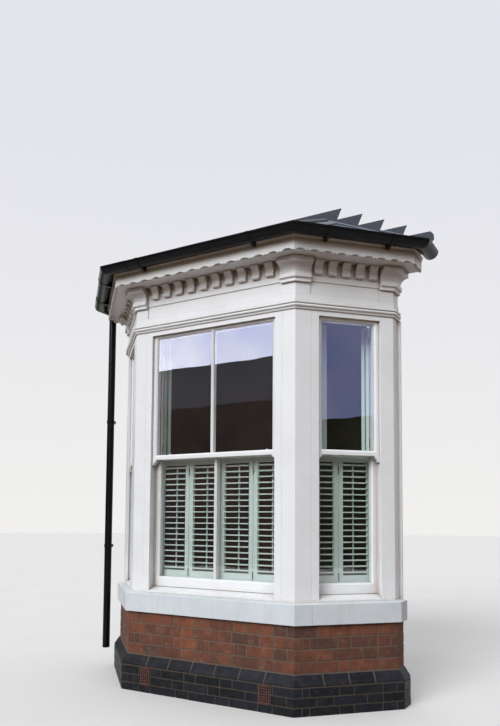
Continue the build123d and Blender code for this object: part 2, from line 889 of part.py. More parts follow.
# Boards, and the rafters under them
rafter_end = fascia_reach - fascia_thickness
peak_plan = (half_front, wall_y)
deck_boards = roof_shell(0, -deck_thickness, fascia_reach)
rafter_layer = roof_shell(-deck_thickness, -deck_thickness - rafter_depth, rafter_end)
cant_apex = on_cant((peak_plan[1] - face_y) * math.sin(turn), rafter_end)
with BuildPart() as rafters:
    with BuildSketch(Plane.XY.offset(soffit_top)):
        for x in centred_places(rafter_count, rafter_pitch, 0):
            add(plan_strip((x, face_y - rafter_end), (x, wall_y), rafter_width))
        for foot in (corner(rafter_end), knee(rafter_end), cant_apex):
            add(plan_strip(foot, peak_plan, rafter_width))
            add(plan_strip((-foot[0], foot[1]), (-peak_plan[0], peak_plan[1]), rafter_width))
    extrude(amount=ridge_height - soffit_top)
    add(rafter_layer, mode=Mode.INTERSECT)
finish(deck_boards, "roof_deck")
finish(rafters.part, "rafters")

roof_slates = roof_shell(slate_thickness, 0, slate_reach)
finish(roof_slates, "roof_slates")

# Head beam on the frames, up to the rafters
under_rafters = roof_block(-deck_thickness - rafter_depth, rafter_end, head - 1)
beam_band = bay_band(-frieze_thickness, -frame_depth, head, ridge_height)
with BuildPart() as head_beam:
    add(beam_band)
    add(under_rafters, mode=Mode.INTERSECT)
finish(head_beam.part, "head_beam")

with BuildPart() as ceiling:
    with BuildSketch(Plane.XY.offset(ceiling_height)):
        with BuildLine():
            Polyline(*bay_line(-frame_depth), close=True)
        make_face()
    extrude(amount=ceiling_thickness)
finish(ceiling.part, "ceiling")

# Fascia with a scalloped lower edge
fascia_foot = frieze_top + soffit_thickness - fascia_drop
under_deck = roof_block(-deck_thickness, fascia_reach + 1, fascia_foot - 1)
fascia_band = bay_band(fascia_reach, fascia_reach - fascia_thickness, fascia_foot, ridge_height)


def hollow_points(start, end):
    """A hollow of the fascia's foot, as an arc in straight pieces."""
    half = (end - start) / 2
    radius = (half ** 2 + scallop_rise ** 2) / (2 * scallop_rise)
    spread = math.asin(half / radius)
    middle = fascia_foot + scallop_rise - radius
    angles = [spread * (2 * n / scallop_pieces - 1) for n in range(scallop_pieces + 1)]
    return [(start + half + radius * math.sin(a), middle + radius * math.cos(a)) for a in angles]


def scallop_cuts(face, left, right, count):
    """Hollows along the foot of the fascia, with a notch in each tip between them."""
    pitch = (right - left) / count
    with BuildPart() as cuts:
        with BuildSketch(face.offset(fascia_reach)):
            for n in range(count):
                start = left + n * pitch + scallop_tip / 2
                end = left + (n + 1) * pitch - scallop_tip / 2
                with BuildLine():
                    Polyline(*hollow_points(start, end), close=True)
                make_face()
            for n in range(1, count):
                tip = left + n * pitch
                with BuildLine():
                    Polyline(
                        (tip - notch_width / 2, fascia_foot), (tip, fascia_foot + notch_height),
                        (tip + notch_width / 2, fascia_foot), close=True,
                    )
                make_face()
        extrude(amount=-fascia_thickness - 1)
    return cuts.part


corner_gain = fascia_reach * math.tan(turn / 2)
knee_gain = fascia_reach * math.tan(square_turn / 2)
front_cuts = scallop_cuts(front_face, -half_front - corner_gain, half_front + corner_gain, front_scallops)
cant_cuts = scallop_cuts(cant_face, -corner_gain, cant_length + knee_gain, cant_scallops)
return_cuts = scallop_cuts(return_face, -knee_gain, return_depth, return_scallops)
with BuildPart() as scalloped_fascia:
    add(fascia_band)
    add(under_deck, mode=Mode.INTERSECT)
    add([front_cuts, cant_cuts, return_cuts], mode=Mode.SUBTRACT)
    for cuts in (cant_cuts, return_cuts):
        mirror(cuts, about=Plane.YZ, mode=Mode.SUBTRACT)
finish(scalloped_fascia.part, "scalloped_fascia")

# Cavetto under the gutter
crown_foot = soffit_top + crown_rise
crown_top = crown_foot + crown_height
with BuildSketch() as crown_section:
    with BuildLine():
        hollow = raised(crown_hollow, crown_foot, fascia_reach)
        Polyline((fascia_reach, crown_foot), hollow[0])
        ThreePointArc(*hollow)
        Polyline(
            hollow[-1],
            (hollow[-1][0], crown_top),
            (fascia_reach, crown_top),
            (fascia_reach, crown_foot),
        )
    make_face()
crown_moulding = swept(crown_section.sketch, bay_line(0))
finish(crown_moulding, "crown_moulding")


# Half-round gutter with angles at the corners and stop ends at the wall
def half_round(outer, inner):
    """The section of a half-round channel, or of its solid where the inner radius is 0."""
    with BuildSketch() as section:
        with Locations((gutter_reach, gutter_height)):
            Circle(outer)
            if inner:
                Circle(inner, mode=Mode.SUBTRACT)
        corner_rectangle(gutter_reach - outer - 1, gutter_reach + outer + 1, gutter_height,
                         gutter_height + outer + 1, mode=Mode.SUBTRACT)
    return section.sketch


gutter_bore = gutter_radius - gutter_wall
gutter_line = bay_line(0)
gutter_channel = swept(half_round(gutter_radius, gutter_bore), gutter_line)
angle_section = half_round(gutter_radius + angle_thickness, gutter_radius)
corner_angle = swept(angle_section, [(half_front - angle_arm, face_y), corner(0), on_cant(angle_arm)])
knee_angle = swept(angle_section, [on_cant(cant_length - angle_arm), knee(0), (bay_half, wall_y)])
with BuildSketch() as stop_section:
    add(half_round(gutter_radius, 0))
    corner_rectangle(gutter_reach - gutter_bore, gutter_reach + gutter_bore, gutter_height - stop_drop,
                     gutter_height, mode=Mode.SUBTRACT)
stop_end = swept(stop_section.sketch, [(bay_half, wall_y - gutter_wall), (bay_half, wall_y)])
pipe_place = (-bay_half - gutter_reach, wall_y - pipe_from_wall)
with BuildPart() as gutter_fittings:
    add([corner_angle, knee_angle])
    add(stop_end)
    mirror(about=Plane.YZ)
with BuildPart() as gutter:
    add(gutter_channel)
    add(gutter_fittings.part)
    with BuildSketch(Plane.XY.offset(gutter_height - gutter_radius - angle_thickness - 1)):
        with Locations(pipe_place):
            Circle(pipe_radius - pipe_wall)
    extrude(amount=gutter_radius, mode=Mode.SUBTRACT)
finish(gutter.part, "gutter")

# Brackets that cradle the gutter from the fascia, each with a web in front of the crown moulding
web_back = fascia_reach + crown_hollow[-1][0]
with BuildSketch() as bracket_section:
    add(half_round(gutter_radius + bracket_thickness, gutter_radius))
    corner_rectangle(fascia_reach, gutter_reach - gutter_radius, gutter_height - bracket_arm, gutter_height)
    with BuildLine():
        Polyline(
            (web_back, gutter_height - bracket_arm),
            (web_back, gutter_height - bracket_drop),
            (web_back + bracket_toe, gutter_height - bracket_drop),
            (gutter_reach, gutter_height - gutter_radius - bracket_thickness),
            (gutter_reach, gutter_height - bracket_arm),
            close=True,
        )
    make_face()
    with Locations((gutter_reach, gutter_height)):
        Circle(gutter_radius, mode=Mode.SUBTRACT)
with BuildPart() as cant_brackets:
    for along in (bracket_cant_margin, cant_length - bracket_cant_margin):
        with BuildSketch(section_plane(cant_face, along)):
            add(bracket_section.sketch)
    extrude(amount=bracket_width / 2, both=True)
    mirror(about=Plane.YZ)
with BuildPart() as gutter_brackets:
    for along in (-bracket_front_place, bracket_front_place):
        with BuildSketch(section_plane(front_face, along)):
            add(bracket_section.sketch)
    extrude(amount=bracket_width / 2, both=True)
    add(cant_brackets.part)
finish(gutter_brackets.part, "gutter_brackets")

# Downpipe from the left end of the gutter, saddled to it at the top
pipe_top_cut = swept(half_round(gutter_radius + angle_thickness, 0), gutter_line)
with BuildPart() as downpipe:
    with BuildSketch(Plane.XY.offset(pipe_foot)):
        with Locations(pipe_place):
            Circle(pipe_radius)
            Circle(pipe_radius - pipe_wall, mode=Mode.SUBTRACT)
    extrude(amount=gutter_height - pipe_foot)
    add(pipe_top_cut, mode=Mode.SUBTRACT)
finish(downpipe.part, "downpipe")

with BuildPart() as downpipe_clips:
    for height in clip_heights:
        with BuildSketch(Plane.XY.offset(height)):
            with Locations(pipe_place):
                Circle(pipe_radius + clip_thickness)
            corner_rectangle(pipe_place[0] - clip_ear / 2, pipe_place[0] + clip_ear / 2,
                             pipe_place[1], wall_y)
            with Locations(pipe_place):
                Circle(pipe_radius, mode=Mode.SUBTRACT)
        extrude(amount=clip_height)
finish(downpipe_clips.part, "downpipe_clips")

# Lead on the hips: a strip with a roll
lead_layer = roof_shell(slate_thickness + lead, slate_thickness, slate_reach)
under_lead = roof_block(slate_thickness, slate_reach + 1, soffit_top - roof_rise)
hip_end = wall_y - apron_lap
roll_plane_lift = slate_thickness + lead


def hip_foot(plan_corner):
    """The foot of a hip, raised to the top of the lead."""
    x, y = plan_corner(slate_reach)
    peak_x, peak_y = peak_plan
    x0, y0 = plan_corner(eave_reach)
    fall = math.hypot(x - x0, y - y0) / math.hypot(peak_x - x0, peak_y - y0) * roof_rise
    return Vector(x, y, eave_height - fall + roll_plane_lift)


peak_point = Vector(half_front, wall_y, ridge_height + roll_plane_lift)
with BuildPart() as hip_strips:
    with BuildSketch(Plane.XY.offset(soffit_top)):
        for plan_corner in (corner, knee):
            foot = plan_corner(slate_reach + hip_strip)
            add(plan_strip(foot, peak_plan, 2 * hip_strip))
    extrude(amount=2 * roof_rise)
    add(lead_layer, mode=Mode.INTERSECT)
with BuildPart() as lead_hips:
    add(hip_strips.part)
    for plan_corner in (corner, knee):
        foot = hip_foot(plan_corner)
        along_hip = peak_point - foot
        with BuildSketch(Plane(origin=foot, z_dir=along_hip)):
            RegularPolygon(hip_roll, 12)
        extrude(amount=along_hip.length)
    add(under_lead, mode=Mode.SUBTRACT)
    split(bisect_by=Plane(origin=(0, hip_end, 0), z_dir=(0, 1, 0)), keep=Keep.BOTTOM)
    mirror(about=Plane.YZ)
finish(lead_hips.part, "lead_hips")

# Lead flashing against the wall: apron, side laps and a stepped upstand
flashing_end = bay_half + slate_reach
step_points = []
for n in range(flashing_steps):
    tip = (half_front + flashing_start + flashing_run * n, ridge_height + apron_upstand - flashing_step * n)
    if n > 0:
        step_points.append((step_points[-1][0] - flashing_lean, tip[1]))
    step_points.append(tip)
step_points += [(tip[0] + x, tip[1] + z) for x, z in flashing_ear]
step_points += [(flashing_end, step_points[-1][1]), (flashing_end, eave_height - roof_rise)]
stair = [(-x, z) for x, z in reversed(step_points)] + step_points
with BuildPart() as lap:
    with BuildSketch(Plane.XY.offset(soffit_top)):
        corner_rectangle(-flashing_end, flashing_end, wall_y - apron_lap, wall_y)
    extrude(amount=2 * roof_rise)
    add(lead_layer, mode=Mode.INTERSECT)
wall_side = Plane(origin=(0, wall_y, 0), x_dir=(1, 0, 0), z_dir=(0, -1, 0))
with BuildPart() as upstand_sheet:
    with BuildSketch(wall_side):
        with BuildLine():
            Polyline(*stair, close=True)
        make_face()
    extrude(amount=lead)
    add(under_lead, mode=Mode.SUBTRACT)
with BuildPart() as wall_flashings:
    add(lap.part)
    add(upstand_sheet.part)
finish(wall_flashings.part, "wall_flashings")
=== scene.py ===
import itertools
import json
import math
import random

import bmesh
import bpy
from mathutils import Matrix, Vector, noise


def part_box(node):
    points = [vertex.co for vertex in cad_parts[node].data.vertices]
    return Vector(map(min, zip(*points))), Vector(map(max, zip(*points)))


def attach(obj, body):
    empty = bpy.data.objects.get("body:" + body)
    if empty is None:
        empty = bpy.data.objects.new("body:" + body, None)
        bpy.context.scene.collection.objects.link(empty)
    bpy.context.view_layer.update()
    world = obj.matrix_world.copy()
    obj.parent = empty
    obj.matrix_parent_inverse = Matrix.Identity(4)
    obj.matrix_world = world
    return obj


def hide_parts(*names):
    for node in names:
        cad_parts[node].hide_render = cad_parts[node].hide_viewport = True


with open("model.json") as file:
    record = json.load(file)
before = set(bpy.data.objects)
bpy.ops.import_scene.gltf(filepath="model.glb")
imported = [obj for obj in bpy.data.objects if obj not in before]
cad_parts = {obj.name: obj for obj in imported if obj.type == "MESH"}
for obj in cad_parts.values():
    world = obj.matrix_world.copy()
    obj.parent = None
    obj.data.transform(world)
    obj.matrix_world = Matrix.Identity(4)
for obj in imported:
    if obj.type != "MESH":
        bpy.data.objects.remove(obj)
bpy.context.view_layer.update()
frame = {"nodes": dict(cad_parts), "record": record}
nodes = frame["nodes"]
subparts = frame["record"]["subparts"]

MM = 0.001

# Plan of the bay in metres, from the timber sill, whose outer line is the posts' outer face
RETURN_DEPTH = 0.125
HALF_TURN = math.radians(22.5)
sill_low, sill_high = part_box("timber_sill")
FACE_Y = sill_low.y
WALL_Y = sill_high.y
BAY_HALF = sill_high.x
KNEE_Y = WALL_Y - RETURN_DEPTH
HALF_FRONT = BAY_HALF - (KNEE_Y - FACE_Y)

# Heights in metres between which splashes fade from the paint, and damp from the mortar
SPLASH_FOOT = 0.775
SPLASH_TOP = 0.86
DAMP_FOOT = 0.2
DAMP_TOP = 0.42

# Arrises of the painted pieces, and how near points and heights count as the same, in metres
TIMBER_ARRIS = 0.0015
STONE_ARRIS = 0.005
TOLERANCE = 0.00002

# Edges that turn less than the first angle in degrees are cleared, and more than the second rounded
FLAT_ANGLE = 0.4
SHARP_ANGLE = 35

# Shutter hinges, in metres: the leaves of each tier swing by an angle in degrees from shut
SHUTTER_TIERS = ((0.83, 1.861, 0), (1.866, 2.893, 135))
HINGE_INSET = 0.11
PIN_DEPTH = 0.203
PIN_RADIUS = 0.004
FOLD_DEPTH = 0.0356
CANT_PIN_PLACE = 0.688
CANT_LEAF = 0.279
KNUCKLE_RADIUS = 0.00425
KNUCKLE_LENGTH = 0.03
KNUCKLE_GAP = 0.0003
KNUCKLE_EASE = 0.0006
KNUCKLE_SIDES = 14

# Brickwork, in metres
STRETCHER = 0.215
HEADER = 0.102
CLOSER = 0.046
LONG_LEG = 0.165
SHORT_LEG = 0.056
JOINT = 0.01
JOINT_RECESS = 0.003
BRICK_REACH = 0.025
PLINTH_REACH = 0.075
INNER_REACH = -0.204
SPLAY_NOSE = 0.012
COLLAR_JOINT = 0.012
BLUE_COURSES = 3
RED_COURSES = 4
AIR_BRICK_WIDTH = 0.09

# The bond: a run that starts nearer to a corner than this gets a closer, and no run has more bricks
CLOSER_LIMIT = SHORT_LEG + 0.03
MOST_BRICKS = 40

# The skin of fired clay, in metres: how far bricks lean, their arrises and how rough they are
BRICK_LEAN = 0.0012
BRICK_ARRIS = 0.0028
LONG_EDGE = 0.035
EDGE_CUTS = 3
SKIN_SIZE = 0.028
CHIP_SIZE = SKIN_SIZE * 0.3
CHIP_SHARE = 0.4
WALL_SKIN = 0.0011
SPLAY_SKIN = 0.0009

# Stone sill, in metres
STONE_JOINT = 0.003
STONE_JOINT_PLACE = 0.115
STONE_BACK = 0.15
STONE_FALL = 0.005
JOINT_SINK = 0.0008

# Roof, in metres
EAVE_REACH = 0.215
EAVE_HEIGHT = 3.433
ROOF_RISE = 0.413
SLATE_WIDTH = 0.25
SLATE_GAUGE = 0.205
SLATE_LENGTH = SLATE_GAUGE * 1.35
SLATE_THICK = 0.005
SLATE_OVERHANG = 0.022
SLATE_GAP = 0.003
SLATE_LIFT = SLATE_THICK * 1.25
SLATE_PLAY = 0.001
SLATE_RAGGED = 0.0025
WALL_GAP = 0.001

# Stage, in metres: a round floor, and a dark card behind the windows in the plane of the house wall
FLOOR_RADIUS = 60
FLOOR_SEGMENTS = 96
ROOM_SHADE = 0.7
ROOM_CARD_GAP = 0.002
POST_INNER = 1.1435
SHUTTER_INNER = 1.045
TIER_SPLIT = 1.8635

# Cards that only reflections show: a dark street side and two tree lines, with bright skies over them
STREET_Y = -12.0
STREET_SPAN = (-24, -1)
STREET_TOP = 5.92
ROOF_FOOT = 4.7
TREES_X = 14.0
TREES_TOP = 4.3
SKY_TOP = 22.0
SKY_OVERLAP = 1
CARD_GAP = 0.5

# Light: a dome that is brighter from above than from the horizon, and a soft sun from the front left
DOME_FOOT = 0.36
DOME_TOP = 0.8
SUN_FROM = Vector((-0.09, -0.86, 0.5))
SUN_STRENGTH = 2.3
SUN_COLOUR = (0.95, 0.98, 1.0)
SUN_SPREAD = 35

# Camera, worked out from the photo: eye in metres, turns in degrees, lens in pixels of the photo
PHOTO_HEIGHT = 726
EYE = Vector((2.79675, WALL_Y - 4.976087, 1.36795))
YAW, PITCH, ROLL = (math.radians(angle) for angle in (29.52, 3.87, 0.39))
FOCAL_PIXELS = 659.22
LEVEL_ROW = 475.04
SENSOR = 36

# Random values and the noise of the bricks' skin start from one seed, so that each run is the same
SEED = 7
random.seed(SEED)
noise.seed_set(SEED)


# Plan
def stops(reach):
    """The plan points of the bay's outline at a reach, from the left wall end to the right one."""
    gain = reach * math.tan(HALF_TURN)
    right = [
        Vector((HALF_FRONT + gain, FACE_Y - reach)),
        Vector((BAY_HALF + reach, KNEE_Y - gain)),
        Vector((BAY_HALF + reach, WALL_Y)),
    ]
    return [Vector((-p.x, p.y)) for p in reversed(right)] + right


# The bay's five faces from left to right: start, way along, way outward and length of each
post_line = stops(0)
FACES = []
for face_start, face_end in zip(post_line, post_line[1:]):
    ahead = (face_end - face_start).normalized()
    FACES.append((face_start, ahead, Vector((ahead.y, -ahead.x)), (face_end - face_start).length))
FRONT = 2
LAST = len(FACES) - 1


def on_face(face, along, reach):
    """A plan point of a face, along it from its start at a reach."""
    start, ahead, outward, _ = FACES[face]
    return start + ahead * along + outward * reach


# Materials
def linear(code):
    """A linear colour from an sRGB hex value."""
    parts = [int(code[i:i + 2], 16) / 255 for i in (1, 3, 5)]
    return [p / 12.92 if p <= 0.04045 else ((p + 0.055) / 1.055) ** 2.4 for p in parts] + [1]


def per_metre(millimetres):
    """The scale of a pattern whose features have a real size."""
    return 1000 / millimetres


def set_inputs(tree, node, inputs):
    """Sets a node's inputs, by name or place, to values, sRGB hex colours or sockets."""
    for key, value in inputs.items():
        if isinstance(value, bpy.types.NodeSocket):
            tree.links.new(value, node.inputs[key])
        else:
            node.inputs[key].default_value = linear(value) if isinstance(value, str) else value


# Map Range takes its value at 0, its own span at 1 and 2 and the new span at 3 and 4, each 0 to 1 if
# left out. Mix takes its factor at 0 and its colours at 6 and 7, and gives the mixed colour at 2.
def add_node(tree, kind, inputs=None, output=0, **settings):
    """Adds a node with its settings and inputs, and gives one of its outputs."""
    node = tree.nodes.new("ShaderNode" + kind)
    for name, value in settings.items():
        setattr(node, name, value)
    set_inputs(tree, node, inputs or {})
    return node.outputs[output]


def new_finish(name):
    """An empty material: its tree, its shader and its Object coordinates."""
    finish = bpy.data.materials.new(name)
    finish.use_nodes = True
    tree = finish.node_tree
    return finish, tree, tree.nodes["Principled BSDF"], add_node(tree, "TexCoord", output="Object")


def mottle(tree, place, size, detail=4, rough=0.6):
    """A soft pattern from 0 to 1, whose features have a real size in millimetres."""
    cloud = add_node(tree, "TexNoise", {
        "Vector": place, "Scale": per_metre(size), "Detail": detail, "Roughness": rough})
    return add_node(tree, "MapRange", {0: cloud, 1: 0.3, 2: 0.7})


def painted_crevice_shade(tree, millimetres, strength):
    """How far painted shade darkens the quirks, joints and sheltered places of a surface, from ambient
    occlusion, from 0 to its strength.
    """
    open_air = add_node(tree, "AmbientOcclusion", {"Distance": millimetres * MM}, "AO", samples=6)
    return add_node(tree, "MapRange", {0: open_air, 1: 0.75, 2: 0.2, 4: strength})


# Alkyd gloss brushed on softwood: shiny but a little wavy, splashed low down, with brown painted shade in
# the quirks and under overhangs
def white_gloss_paint():
    finish, tree, shader, place = new_finish("brushed_white_gloss")
    broad = mottle(tree, place, 240)
    fine = mottle(tree, place, 6)
    washed = add_node(tree, "Mix", {0: broad, 6: "#F0F2F5", 7: "#E9EAEC"}, 2, data_type="RGBA")
    # Warm painted shade under overhangs, from ambient occlusion
    painted_eaves_shade = painted_crevice_shade(tree, 160, 0.7)
    eaves_shaded = add_node(tree, "Mix", {0: painted_eaves_shade, 6: washed, 7: "#A08C74"}, 2, data_type="RGBA")
    # Brown painted shade in the quirks and joints, from ambient occlusion
    painted_quirk_shade = painted_crevice_shade(tree, 22, 0.8)
    quirk_shaded = add_node(tree, "Mix", {0: painted_quirk_shade, 6: eaves_shaded, 7: "#7A5F49"}, 2, data_type="RGBA")
    height = add_node(tree, "SeparateXYZ", {0: place}, "Z")
    low = add_node(tree, "MapRange", {0: height, 1: SPLASH_FOOT, 2: SPLASH_TOP, 3: 0.55, 4: 0.0})
    splashes = add_node(tree, "Math", {0: low, 1: mottle(tree, place, 35)}, operation="MULTIPLY")
    colour = add_node(tree, "Mix", {0: splashes, 6: quirk_shaded, 7: "#C6C1B8"}, 2, data_type="RGBA")
    roughness = add_node(tree, "MapRange", {0: fine, 3: 0.3, 4: 0.42})
    brushing = add_node(tree, "Bump", {"Height": fine, "Distance": 0.12 * MM})
    set_inputs(tree, shader, {"Base Color": colour, "Roughness": roughness, "Normal": brushing})
    return finish


# Masonry paint on sandstone: matt, faintly grainy, pale blue-grey with thin stains
def painted_stone():
    finish, tree, shader, place = new_finish("painted_sandstone")
    broad = mottle(tree, place, 160)
    grain = mottle(tree, place, 3.5, detail=6)
    pale = add_node(tree, "Mix", {0: broad, 6: "#D9DFE3", 7: "#CED5DA"}, 2, data_type="RGBA")
    drawn_down = add_node(tree, "Mapping", {0: place, "Scale": (1, 1, 0.15)})
    runs = add_node(tree, "MapRange", {0: mottle(tree, drawn_down, 45), 1: 0.6, 4: 0.14})
    colour = add_node(tree, "Mix", {0: runs, 6: pale, 7: "#A39E96"}, 2, data_type="RGBA")
    roughness = add_node(tree, "MapRange", {0: grain, 3: 0.5, 4: 0.7})
    sandy = add_node(tree, "Bump", {"Height": grain, "Distance": 0.5 * MM})
    set_inputs(tree, shader, {"Base Color": colour, "Roughness": roughness, "Normal": sandy})
    return finish


# Waterborne satin on shutter timber: even pale green with a soft sheen
def shutter_paint():
    finish, tree, shader, place = new_finish("pale_green_satin")
    broad = mottle(tree, place, 180)
    fine = mottle(tree, place, 5)
    colour = add_node(tree, "Mix", {0: broad, 6: "#CBDAD1", 7: "#BFCEC5"}, 2, data_type="RGBA")
    roughness = add_node(tree, "MapRange", {0: fine, 3: 0.36, 4: 0.46})
    rolling = add_node(tree, "Bump", {"Height": fine, "Distance": 0.06 * MM})
    set_inputs(tree, shader, {"Base Color": colour, "Roughness": roughness, "Normal": rolling})
    return finish


# Pressed facing brick: orange-red body, some burnt dark, sandy skin with fine pits
def red_brick():
    finish, tree, shader, place = new_finish("pressed_red_brick")
    tone = add_node(tree, "Attribute", output="Fac", attribute_name="tone")
    warmth = add_node(tree, "MapRange", {0: tone, 1: 0.15})
    warm = add_node(tree, "Mix", {0: warmth, 6: "#71402D", 7: "#965438"}, 2, data_type="RGBA")
    firing = add_node(tree, "MapRange", {0: tone, 2: 0.15})
    body = add_node(tree, "Mix", {0: firing, 6: "#573A33", 7: warm}, 2, data_type="RGBA")
    dust = add_node(tree, "MapRange", {0: mottle(tree, place, 38), 1: 0.5, 4: 0.35})
    dusted = add_node(tree, "Mix", {0: dust, 6: body, 7: "#A9836C"}, 2, data_type="RGBA")
    clouds = add_node(tree, "MapRange", {0: mottle(tree, place, 70), 1: 0.2, 4: 0.7})
    clouded = add_node(tree, "Mix", {0: clouds, 6: dusted, 7: "#573629"}, 2, data_type="RGBA")
    soot = add_node(tree, "MapRange", {0: mottle(tree, place, 420, detail=5), 1: 0.3, 3: 0.2, 4: 0.7})
    grimed = add_node(tree, "Mix", {0: soot, 6: clouded, 7: "#3C2D26"}, 2, data_type="RGBA")
    pits = mottle(tree, place, 4, detail=8, rough=0.75)
    deepest = add_node(tree, "MapRange", {0: pits, 1: 0.7, 4: 0.5})
    colour = add_node(tree, "Mix", {0: deepest, 6: grimed, 7: "#3B2A26"}, 2, data_type="RGBA")
    roughness = add_node(tree, "MapRange", {0: pits, 3: 0.8, 4: 0.95})
    pitting = add_node(tree, "Bump", {"Height": pits, "Distance": 0.9 * MM})
    set_inputs(tree, shader, {"Base Color": colour, "Roughness": roughness, "Normal": pitting})
    return finish


# Engineering brick: vitrified, blue-black, a dull glaze with metallic bloom
def blue_brick():
    finish, tree, shader, place = new_finish("vitrified_blue_brick")
    tone = add_node(tree, "Attribute", output="Fac", attribute_name="tone")
    body = add_node(tree, "Mix", {0: tone, 6: "#101115", 7: "#1D1F27"}, 2, data_type="RGBA")
    bloom_and_painted_skylight = add_node(tree, "MapRange", {0: mottle(tree, place, 60), 1: 0.4, 4: 0.45})
    colour = add_node(tree, "Mix", {0: bloom_and_painted_skylight, 6: body, 7: "#393638"}, 2, data_type="RGBA")
    pits = mottle(tree, place, 5, detail=7, rough=0.7)
    roughness = add_node(tree, "MapRange", {0: pits, 3: 0.38, 4: 0.6})
    pitting = add_node(tree, "Bump", {"Height": pits, "Distance": 0.5 * MM})
    set_inputs(tree, shader, {"Base Color": colour, "Roughness": roughness, "Normal": pitting,
                              "Specular IOR Level": 0.18})
    return finish


# Old lime and ash mortar: sandy, brown-grey, crumbling a little and dark with damp at its foot
def lime_mortar():
    finish, tree, shader, place = new_finish("brown_lime_mortar")
    sand = mottle(tree, place, 2.5, detail=6, rough=0.8)
    bare = add_node(tree, "Mix", {0: sand, 6: "#54483F", 7: "#7C6A5B"}, 2, data_type="RGBA")
    height = add_node(tree, "SeparateXYZ", {0: place}, "Z")
    damp = add_node(tree, "MapRange", {0: height, 1: DAMP_TOP, 2: DAMP_FOOT, 4: 0.7})
    colour = add_node(tree, "Mix", {0: damp, 6: bare, 7: "#3D3632"}, 2, data_type="RGBA")
    crumbling = add_node(tree, "Bump", {"Height": sand, "Distance": 1.2 * MM})
    set_inputs(tree, shader, {"Base Color": colour, "Roughness": 0.95, "Normal": crumbling})
    return finish


# Fired clay, unglazed: dark brown-red and dusty
def terracotta():
    finish, tree, shader, place = new_finish("dark_terracotta")
    dust = mottle(tree, place, 18)
    colour = add_node(tree, "Mix", {0: dust, 6: "#573730", 7: "#432C27"}, 2, data_type="RGBA")
    grain = add_node(tree, "Bump", {"Height": mottle(tree, place, 3), "Distance": 0.5 * MM})
    set_inputs(tree, shader, {"Base Color": colour, "Roughness": 0.85, "Normal": grain})
    return finish


# Riven slate: blue-grey, each one its own shade, low ridges where it split
def riven_slate():
    finish, tree, shader, place = new_finish("riven_slate")
    tone = add_node(tree, "Attribute", output="Fac", attribute_name="tone")
    body = add_node(tree, "Mix", {0: tone, 6: "#454A57", 7: "#656A78"}, 2, data_type="RGBA")
    lichen = add_node(tree, "MapRange", {0: mottle(tree, place, 25, detail=6), 1: 0.8, 4: 0.5})
    colour = add_node(tree, "Mix", {0: lichen, 6: body, 7: "#8C8F86"}, 2, data_type="RGBA")
    ridges = mottle(tree, place, 14, detail=8, rough=0.65)
    roughness = add_node(tree, "MapRange", {0: ridges, 3: 0.5, 4: 0.75})
    riven = add_node(tree, "Bump", {"Height": ridges, "Distance": 1.2 * MM})
    set_inputs(tree, shader, {"Base Color": colour, "Roughness": roughness, "Normal": riven,
                              "Specular IOR Level": 0.3})
    return finish


# Milled sheet lead, years outside: pale carbonate and painted skylight on what faces up, dull metal,
# hand-dressed dents
def sheet_lead():
    finish, tree, shader, place = new_finish("weathered_lead")
    patina = mottle(tree, place, 40, detail=6)
    dull = add_node(tree, "Mix", {0: patina, 6: "#434852", 7: "#31343C"}, 2, data_type="RGBA")
    facing = add_node(tree, "NewGeometry", output="Normal")
    upward = add_node(tree, "SeparateXYZ", {0: facing}, "Z")
    # What faces up is painted paler, as the sky lights it, and pale with carbonate
    bloom_and_painted_skylight = add_node(tree, "MapRange", {0: upward, 1: 0.2, 2: 0.8, 4: 0.6})
    colour = add_node(tree, "Mix", {0: bloom_and_painted_skylight, 6: dull, 7: "#8D92A0"}, 2, data_type="RGBA")
    roughness = add_node(tree, "MapRange", {0: patina, 3: 0.7, 4: 0.55})
    dents = add_node(tree, "Bump", {"Height": mottle(tree, place, 28), "Distance": 2.0 * MM})
    set_inputs(tree, shader, {"Base Color": colour, "Roughness": roughness, "Normal": dents,
                              "Metallic": 0.25, "Specular IOR Level": 0.3})
    return finish


# Cast iron in black gloss: cast skin shows through the paint, dust lies on it
def black_iron_paint():
    finish, tree, shader, place = new_finish("black_gloss_on_cast_iron")
    cast = mottle(tree, place, 3, detail=5)
    dust = add_node(tree, "MapRange", {0: mottle(tree, place, 70), 1: 0.5, 4: 0.3})
    colour = add_node(tree, "Mix", {0: dust, 6: "#08090C", 7: "#1C1C1D"}, 2, data_type="RGBA")
    roughness = add_node(tree, "MapRange", {0: cast, 3: 0.16, 4: 0.3})
    cast_skin = add_node(tree, "Bump", {"Height": cast, "Distance": 0.25 * MM})
    set_inputs(tree, shader, {"Base Color": colour, "Roughness": roughness, "Normal": cast_skin,
                              "Specular IOR Level": 0.14})
    return finish


# Float glass, 4 mm, in slightly uneven panes: an IOR above its real 1.52 brightens what it reflects
def window_glass():
    finish, tree, shader, place = new_finish("window_glass")
    waves = add_node(tree, "Bump", {"Height": mottle(tree, place, 320, detail=1), "Distance": 0.18 * MM})
    set_inputs(tree, shader, {"Base Color": "#F3F6FA", "Transmission Weight": 1.0, "Roughness": 0.0,
                              "IOR": 1.7, "Normal": waves})
    return finish


# Trowelled gypsum with emulsion: nearly flat, matt, off-white
def wall_plaster():
    finish, tree, shader, place = new_finish("emulsion_on_plaster")
    sweeps = mottle(tree, place, 90)
    colour = add_node(tree, "Mix", {0: sweeps, 6: "#DAD7D0", 7: "#D2CEC5"}, 2, data_type="RGBA")
    trowelled = add_node(tree, "Bump", {"Height": sweeps, "Distance": 0.6 * MM})
    set_inputs(tree, shader, {"Base Color": colour, "Roughness": 0.85, "Normal": trowelled})
    return finish


